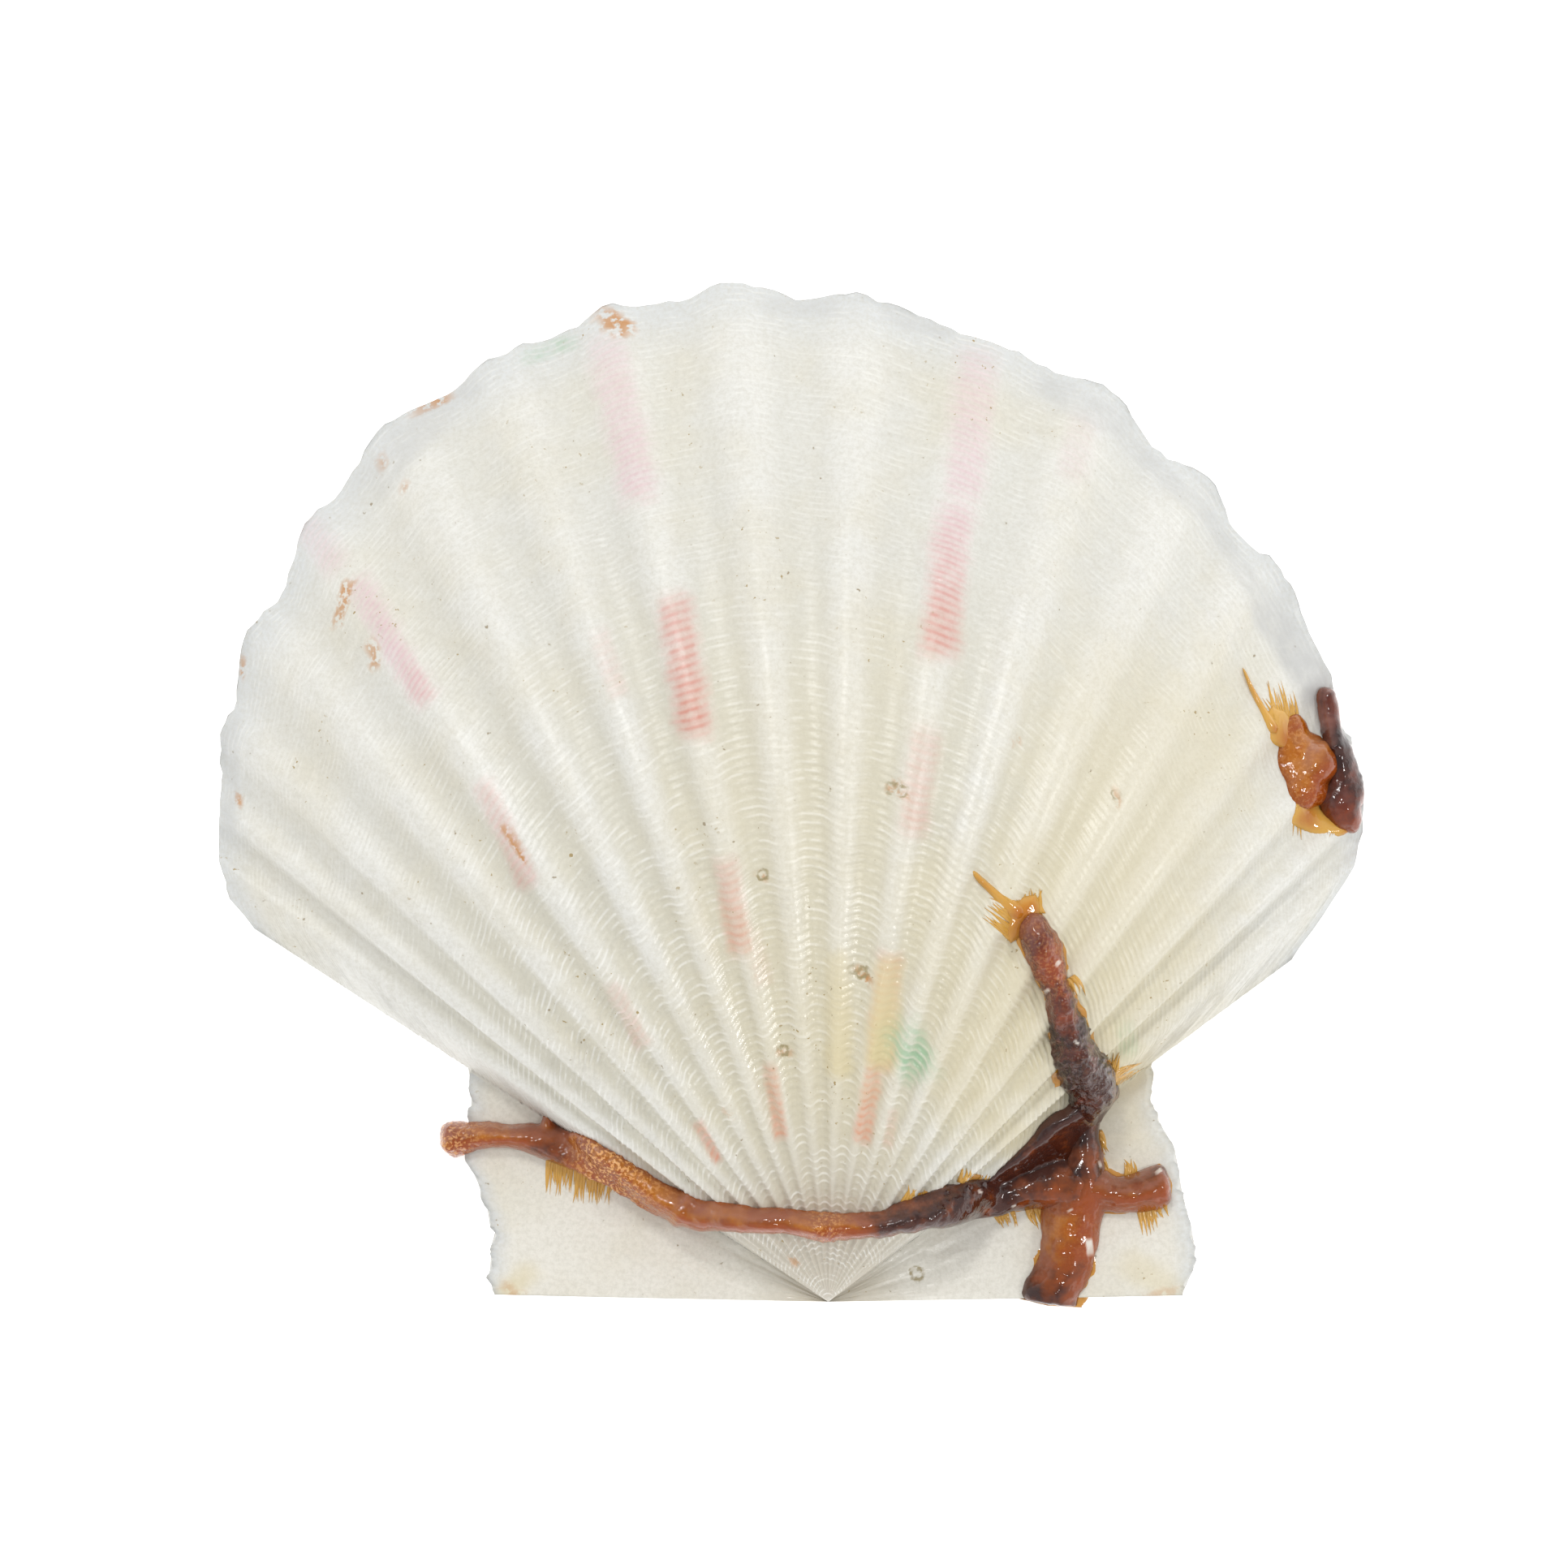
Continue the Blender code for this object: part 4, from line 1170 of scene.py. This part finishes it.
def film_mesh(name, route, ends, ground, seed):
    """A thin film of glue that spreads over the shell."""
    rings, dark, grain = bead_rings(route, ends, ground, seed, True)
    mesh = joined(name, [rings])
    set_points(mesh, mesh_points(mesh))
    finish_glue(mesh, ground, np.repeat(dark, rings.shape[1]), np.repeat(grain, rings.shape[1]))
    return mesh


def streak_rings(root, tip, turn, spread, rng, ground):
    """Rings of one streak: turn says where its root lies along the row of roots, from -0.5 to 0.5."""
    run = tip - root
    side = np.array((-run[1], run[0])) / np.linalg.norm(run)
    start = root + side * (turn * spread + rng.normal(0, ROOT_STRAY)) - run * ROOT_OVERLAP
    end = tip + side * turn * spread * TIP_FAN + rng.normal(0, TIP_STRAY, 2)
    end = mix(end, root, rng.uniform(0.0, SHORTFALL))
    bow = side * rng.normal(0, BOW_STRAY)
    shares = np.linspace(0.0, 1.0, STREAK_RINGS)
    middles = start + (end - start) * shares[:, None] + bow * np.sin(math.pi * shares)[:, None]
    half = rng.uniform(*STREAK_HALF_WIDTHS) * (1.0 - shares**1.8) + STREAK_TIP
    rise = rng.uniform(*STREAK_HEIGHTS) * (1.0 - shares**1.5) + STREAK_TIP_HEIGHT
    rings = []
    for share in STREAK_SECTION:
        plan = middles + side * (half * share)[:, None]
        level = ground.under(plan)[0]
        height = level + 0.3 * rise - SINK if abs(share) == 1.0 else level + rise
        rings.append(np.column_stack((plan, height)))
    rings.append(np.column_stack((middles, ground.under(middles)[0] - SINK)))
    return np.stack(rings, axis=1)


def streak_mesh(ground):
    """Thin tapering streaks of glue, brushed out over the shell."""
    points = []
    darks = []
    faces = []
    rng = np.random.default_rng(7)
    fading = 1.1 - 0.6 * np.linspace(0.0, 1.0, STREAK_RINGS)
    for x0, y0, x1, y1, spread, count, dark in STREAKS:
        root = np.array((x0, y0)) * MM
        tip = np.array((x1, y1)) * MM
        for turn in np.linspace(-0.5, 0.5, count):
            rings = streak_rings(root, tip, turn, spread * MM, rng, ground)
            sides = rings.shape[1]
            faces += ring_faces(STREAK_RINGS, sides, len(points))
            points += rings.reshape(-1, 3).tolist()
            darks += np.repeat(dark * rng.uniform(0.7, 1.3) * fading, sides).tolist()
    mesh = new_mesh("glue_streaks", points, faces)
    face_out(mesh)
    finish_glue(mesh, ground, np.array(darks), np.zeros(len(points)))
    return mesh


def add_piece(mesh, material, replaced=()):
    """Makes a piece of the object, named as its mesh is, riding on the object's one body."""
    piece = add_object(mesh.name, mesh)
    mesh.materials.append(material)
    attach(piece, "root")
    if replaced:
        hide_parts(*replaced)


def srgb(colour):
    """A colour as it looks on a screen, 0 to 255, as the linear values that shaders take."""
    linear = [((part / 255 + 0.055) / 1.055) ** 2.4 if part > 10 else part / 3295 for part in colour]
    return (*linear, 1.0)


class Nodes:
    """Short names for the nodes of a material or a world. A material's colour is painted in layers."""

    def __init__(self, owner, shader="Principled BSDF"):
        owner.use_nodes = True
        self.owner = owner
        self.tree = owner.node_tree
        self.shader = self.tree.nodes[shader]
        self.place = self.tree.nodes.new("ShaderNodeTexCoord").outputs["Object"]
        self.colour = None

    def plug(self, socket, value):
        if isinstance(value, bpy.types.NodeSocket):
            self.tree.links.new(value, socket)
        else:
            socket.default_value = value

    def attribute(self, name):
        node = self.tree.nodes.new("ShaderNodeAttribute")
        node.attribute_name = name
        return node.outputs["Fac"]

    def math(self, operation, first, second=0.0, clamp=False):
        node = self.tree.nodes.new("ShaderNodeMath")
        node.operation = operation
        node.use_clamp = clamp
        self.plug(node.inputs[0], first)
        self.plug(node.inputs[1], second)
        return node.outputs[0]

    def times(self, first, second):
        return self.math("MULTIPLY", first, second)

    def vector(self, operation, first, second=(0.0, 0.0, 0.0)):
        node = self.tree.nodes.new("ShaderNodeVectorMath")
        node.operation = operation
        self.plug(node.inputs[0], first)
        self.plug(node.inputs[1], second)
        return node.outputs["Value" if operation == "LENGTH" else "Vector"]

    def noise(self, scale, detail=4.0, roughness=0.55):
        node = self.tree.nodes.new("ShaderNodeTexNoise")
        self.plug(node.inputs["Vector"], self.place)
        node.inputs["Scale"].default_value = scale
        node.inputs["Detail"].default_value = detail
        node.inputs["Roughness"].default_value = roughness
        return node.outputs["Fac"]

    def span(self, value, low, high, out_low=0.0, out_high=1.0):
        """A value's run from low to high, eased onto another run and held at its ends."""
        node = self.tree.nodes.new("ShaderNodeMapRange")
        node.interpolation_type = "SMOOTHSTEP"
        self.plug(node.inputs["Value"], value)
        limits = {"From Min": low, "From Max": high, "To Min": out_low, "To Max": out_high}
        for label, number in limits.items():
            node.inputs[label].default_value = number
        return node.outputs["Result"]

    def blend(self, share, first, second):
        """A mix of two colours, each a socket, a name in TONES or three numbers from 0 to 255."""
        node = self.tree.nodes.new("ShaderNodeMix")
        node.data_type = "RGBA"
        self.plug(node.inputs["Factor"], share)
        for socket, value in ((node.inputs[6], first), (node.inputs[7], second)):
            if not isinstance(value, bpy.types.NodeSocket):
                value = srgb(TONES.get(value, value))
            self.plug(socket, value)
        return node.outputs[2]

    def paint(self, share, tone):
        """Lays a colour over what is painted so far, as strongly as share says."""
        self.colour = self.blend(share, self.colour, tone)

    def bump(self, height, distance):
        node = self.tree.nodes.new("ShaderNodeBump")
        node.inputs["Distance"].default_value = distance
        self.plug(node.inputs["Height"], height)
        return node.outputs["Normal"]

    def set(self, **values):
        for label, value in values.items():
            self.plug(self.shader.inputs[label.replace("_", " ")], value)


def pit_rings(nodes):
    """Small round scars, each a dark ring with a paler floor, as one mask. The scars have no relief: the
    ring is partly their brownish colour and partly painted shade round their hollows.
    """
    total = 0.0
    for x, y, radius in PITS:
        offset = nodes.vector("SUBTRACT", nodes.place, (x * MM, y * MM, 0.0))
        flat = nodes.vector("MULTIPLY", offset, (1.0 / (radius * MM), 1.0 / (radius * MM), 0.0))
        wander = nodes.span(nodes.noise(1600.0), 0.3, 0.7, -0.3, 0.3)
        ragged_length = nodes.math("ADD", nodes.vector("LENGTH", flat), wander)
        off_ring = nodes.math("ABSOLUTE", nodes.math("SUBTRACT", ragged_length, 1.0))
        total = nodes.math("MAXIMUM", total, nodes.span(off_ring, 0.6, 0.1))
    return nodes.times(total, nodes.span(nodes.noise(900.0), 0.35, 0.6, 0.15, 0.9))


def shell_material():
    """Off-white shell with its dashes, tints, stains, scars and chips, with painted shade in its grooves,
    round its scars and at its chipped rim, and a painted highlight along its growth ridges.
    """
    nodes = Nodes(bpy.data.materials.new("shell"))
    crest = nodes.attribute("crest")
    share = nodes.attribute("share")
    ridge = nodes.attribute("ridge")
    fibre = nodes.noise(900.0, 5.0)
    mottle = nodes.noise(90.0, 5.0, 0.6)
    grit = nodes.noise(2600.0, 3.0, 0.7)
    # Grooves painted darker than crests: painted shade in the grooves
    groove = nodes.blend(nodes.span(share, 0.5, 0.85), "groove", "groove by the rim")
    nodes.colour = nodes.blend(nodes.span(crest, -0.9, 0.7), groove, "crest")
    nodes.paint(nodes.attribute("ear"), "ear")
    nodes.paint(nodes.span(mottle, 0.4, 0.72, 0.0, 0.55), "mottle")
    nodes.paint(nodes.span(share, 0.93, 1.0, 0.0, 0.8), "rim")
    nodes.paint(nodes.span(share, 0.26, 0.03), "beak")
    nodes.paint(nodes.span(grit, 0.35, 0.7, 0.0, 0.35), "grit")
    # Paler lines along the growth ridges' crests: a painted highlight
    lines = nodes.times(nodes.span(ridge, 0.4, 0.95), nodes.span(share, 0.75, 0.4, 0.3, 0.7))
    nodes.paint(nodes.times(lines, nodes.span(nodes.noise(600.0, 5.0), 0.42, 0.66)), "painted ridge highlight")
    hue = nodes.blend(nodes.span(share, 0.3, 0.5), "dash by the beak", "dash")
    hue = nodes.blend(nodes.span(share, 0.7, 0.85), hue, "dash by the rim")
    pink = nodes.times(nodes.attribute("pink"), nodes.span(ridge, 0.0, 1.0, 0.5, 0.95))
    nodes.paint(nodes.times(pink, nodes.span(fibre, 0.3, 0.6, 0.7, 1.0)), hue)
    nodes.paint(nodes.attribute("yellow"), "yellow")
    green = nodes.times(nodes.attribute("green"), nodes.span(nodes.noise(700.0), 0.35, 0.6, 0.4, 1.0))
    nodes.paint(nodes.times(green, nodes.span(ridge, 1.0, 0.2, 0.45, 1.0)), "green")
    broken = nodes.span(nodes.noise(1500.0, 4.0), 0.4, 0.55)
    nodes.paint(nodes.times(nodes.attribute("stain"), broken), "stain")
    nodes.paint(nodes.span(nodes.noise(1300.0, 2.0), 0.74, 0.79, 0.0, 0.8), "dark speck")
    specks = nodes.times(nodes.span(nodes.noise(1900.0, 2.0), 0.68, 0.74), nodes.span(mottle, 0.5, 0.62))
    nodes.paint(specks, "brown speck")
    # Scars: brownish rings that are partly painted shade round their hollows
    nodes.paint(pit_rings(nodes), "scar with painted shade")
    # Chipped places at the rim, their grey partly painted shade at the thin rim
    torn = nodes.span(nodes.noise(500.0, 5.0), 0.35, 0.6, 0.6, 1.0)
    nodes.paint(nodes.times(nodes.attribute("chip"), torn), "chip")
    nodes.paint(nodes.attribute("inner"), "inside")
    rough = nodes.times(nodes.span(mottle, 0.3, 0.7, 0.32, 0.46), nodes.span(share, 0.3, 0.5, 0.5, 1.0))
    relief = nodes.bump(nodes.math("ADD", fibre, nodes.times(grit, 0.5)), SHELL_BUMP)
    nodes.set(Base_Color=nodes.colour, Roughness=rough, IOR=1.52, Normal=relief)
    return nodes.owner


def glue_material(name):
    """Dried glue: see-through and glossy, cloudier and darker where it is thick, granular or burnt, with a
    painted orange glow of light coming through it on the side away from the top softbox and a painted sheen
    on the side toward it.
    """
    (light, middle, deepest, edge), cloudy, density, absorbed = GLUES[name]
    nodes = Nodes(bpy.data.materials.new(name))
    dark = nodes.attribute("dark")
    grain = nodes.attribute("grain")
    away = nodes.attribute("away")
    fleck = nodes.attribute("fleck")
    lump = nodes.noise(420.0, 3.0)
    speck = nodes.noise(3400.0, 2.0)
    thin = nodes.span(nodes.attribute("thick"), 1.1, 0.1)
    deep = nodes.math("ADD", dark, nodes.times(nodes.math("SUBTRACT", lump, 0.5), 1.3), clamp=True)
    nodes.colour = nodes.blend(nodes.span(deep, 0.0, 0.5), light, middle)
    nodes.paint(nodes.span(deep, 0.5, 1.0), deepest)
    # A painted orange glow of light coming through the glue, on the side away from the top softbox
    painted_glow = nodes.times(nodes.span(away, -0.2, 0.6), nodes.span(deep, 1.0, 0.1, 0.1, 0.9))
    nodes.paint(painted_glow, "painted orange glow")
    # A painted sheen, a reflection of the bright studio, on the side toward the top softbox
    painted_sheen = nodes.times(nodes.span(away, 0.15, -0.6, 0.0, 0.5), nodes.span(deep, 1.0, 0.3, 0.3, 1.0))
    nodes.paint(painted_sheen, "painted_sheen")
    nodes.paint(nodes.times(thin, nodes.span(dark, 0.95, 0.4, 0.05, 0.9)), edge)
    gold = nodes.times(grain, nodes.span(speck, 0.5, 0.6))
    gold = nodes.times(gold, nodes.span(dark, 0.7, 0.1, 0.03, 0.8))
    nodes.paint(gold, "gold grain")
    nodes.paint(fleck, "fleck")
    clear = nodes.span(deep, 0.1, 1.0, cloudy[0], cloudy[1])
    clear = nodes.math("ADD", clear, nodes.times(thin, cloudy[2]))
    clear = nodes.math("SUBTRACT", clear, nodes.times(gold, 0.4))
    clear = nodes.math("SUBTRACT", clear, fleck, clamp=True)
    height = nodes.times(nodes.noise(1500.0, 3.0), nodes.math("ADD", grain, 0.08))
    height = nodes.math("ADD", height, nodes.times(lump, 0.9))
    nodes.set(Base_Color=nodes.colour, Roughness=nodes.span(lump, 0.35, 0.75, 0.03, 0.13), IOR=1.5)
    nodes.set(Transmission_Weight=clear, Specular_IOR_Level=GLUE_SHINE)
    nodes.set(Normal=nodes.bump(height, GLUE_BUMP))
    absorb = nodes.tree.nodes.new("ShaderNodeVolumeAbsorption")
    absorb.inputs["Color"].default_value = (*absorbed, 1.0)
    absorb.inputs["Density"].default_value = density
    nodes.tree.links.new(absorb.outputs["Volume"], nodes.tree.nodes["Material Output"].inputs["Volume"])
    return nodes.owner


def add_glue(ground):
    """Every piece of glue: fused beads, films and streaks."""
    glues = {name: glue_material(name) for name in GLUES}
    for number, (name, slot, replaced, routes) in enumerate(FUSED):
        mesh = glue_mesh("glue_" + name + "_fine", routes, ground, 200 + 300 * number)
        add_piece(mesh, glues[slot], replaced)
    for number, (name, route, ends) in enumerate(FILMS):
        mesh = film_mesh("glue_" + name + "_fine", route, ends, ground, 2000 + 50 * number)
        add_piece(mesh, glues["glue_film"])
    add_piece(streak_mesh(ground), glues["glue_film"])


def floor_material():
    """Near-white ground with a slight glow, so that it comes out as white as the photograph's."""
    nodes = Nodes(bpy.data.materials.new("floor"))
    nodes.set(Base_Color=nodes.blend(nodes.noise(900.0, 6.0), "floor", "floor grain"), Roughness=0.9)
    nodes.set(Emission_Color=(1.0, 1.0, 1.0, 1.0), Emission_Strength=FLOOR_GLOW)
    return nodes.owner


def add_floor():
    """The white ground, just under the shell, on the stage and no part of the object."""
    mesh = bpy.data.meshes.new("floor")
    corners = [(x * FLOOR_HALF, y * FLOOR_HALF, 0.0) for x, y in ((-1, -1), (1, -1), (1, 1), (-1, 1))]
    mesh.from_pydata(corners, [], [(0, 1, 2, 3)])
    mesh.materials.append(floor_material())
    floor = add_object("floor", mesh)
    floor.location.z = -FLOOR_GAP


def add_lamp(name, place, size, power):
    """A round soft lamp that shines at the middle of the scene."""
    light = bpy.data.lights.new(name, "AREA")
    light.shape = "DISK"
    light.size = size
    light.energy = power
    lamp = add_object(name, light)
    lamp.location = place
    lamp.rotation_euler = (-Vector(place)).to_track_quat("-Z", "Y").to_euler()


def add_camera():
    """Straight above, far enough to see the whole shell as the photograph does."""
    camera = add_object("camera", bpy.data.cameras.new("camera"))
    camera.data.sensor_width = SENSOR
    camera.data.lens = SENSOR * (CAMERA_HEIGHT - MARGIN_LEVEL) / PICTURE_WIDTH
    camera.location = (*PICTURE_MIDDLE, CAMERA_HEIGHT)
    bpy.context.scene.camera = camera


def add_world():
    """An even white studio, dimmer straight above, where the camera is."""
    world = bpy.data.worlds.new("studio")
    nodes = Nodes(world, "Background")
    parts = nodes.tree.nodes.new("ShaderNodeSeparateXYZ")
    nodes.plug(parts.inputs[0], nodes.place.node.outputs["Generated"])
    rim, core = math.cos(math.radians(SKY_RIM)), math.cos(math.radians(SKY_CORE))
    strength = nodes.span(parts.outputs["Z"], rim, core, SKY_SIDES, SKY_MIDDLE)
    nodes.set(Color=(1.0, 1.0, 1.0, 1.0), Strength=strength)
    bpy.context.scene.world = world


# Beads that run together into one piece: name, slot, the solids that the piece replaces, and its routes
FUSED = (
    ("band", "glue_amber", ("glue_band",), ((BAND, ROUND), (SPUR, ROUND), (WEB, ROUND))),
    ("branch_lower", "glue_amber", ("glue_branch_lower",), ((LOWER_BRANCH, BLUNT),)),
    ("branch_upper", "glue_dark", ("glue_branch_upper",), ((UPPER_BRANCH, ROUND),)),
    ("patch", "glue_amber", ("glue_patch",), ((PATCH, ROUND), (PATCH_DISC, (DISC_END, DISC_END)))),
    ("rod", "glue_dark", (), ((PATCH_RIDGE, ROUND), (ROD, (ROUND_END, ROUND_END)))),
)
FILMS = (
    ("band_film", film_under(BAND[FILM_STATION:]), ROUND),
    ("lower_film", film_under(LOWER_BRANCH[:-CROSSING_STATIONS]), BLUNT),
    ("upper_film", film_under(UPPER_BRANCH[CROSSING_STATIONS:]), ROUND),
    ("branch_top_film", BRANCH_TOP_FILM, ROUND),
    ("branch_tip_film", BRANCH_TIP_FILM, ROUND),
    ("patch_left_film", PATCH_LEFT_FILM, ROUND),
    ("patch_film", PATCH_FILM, ROUND),
    ("patch_low_film", PATCH_LOW_FILM, ROUND),
)

shell = shell_mesh()
add_piece(shell, shell_material(), ("valve",))
add_glue(Ground(shell))
add_floor()
add_world()
for lamp in LAMPS:
    add_lamp(*lamp)
add_camera()
bpy.context.scene.view_settings.view_transform = "Standard"
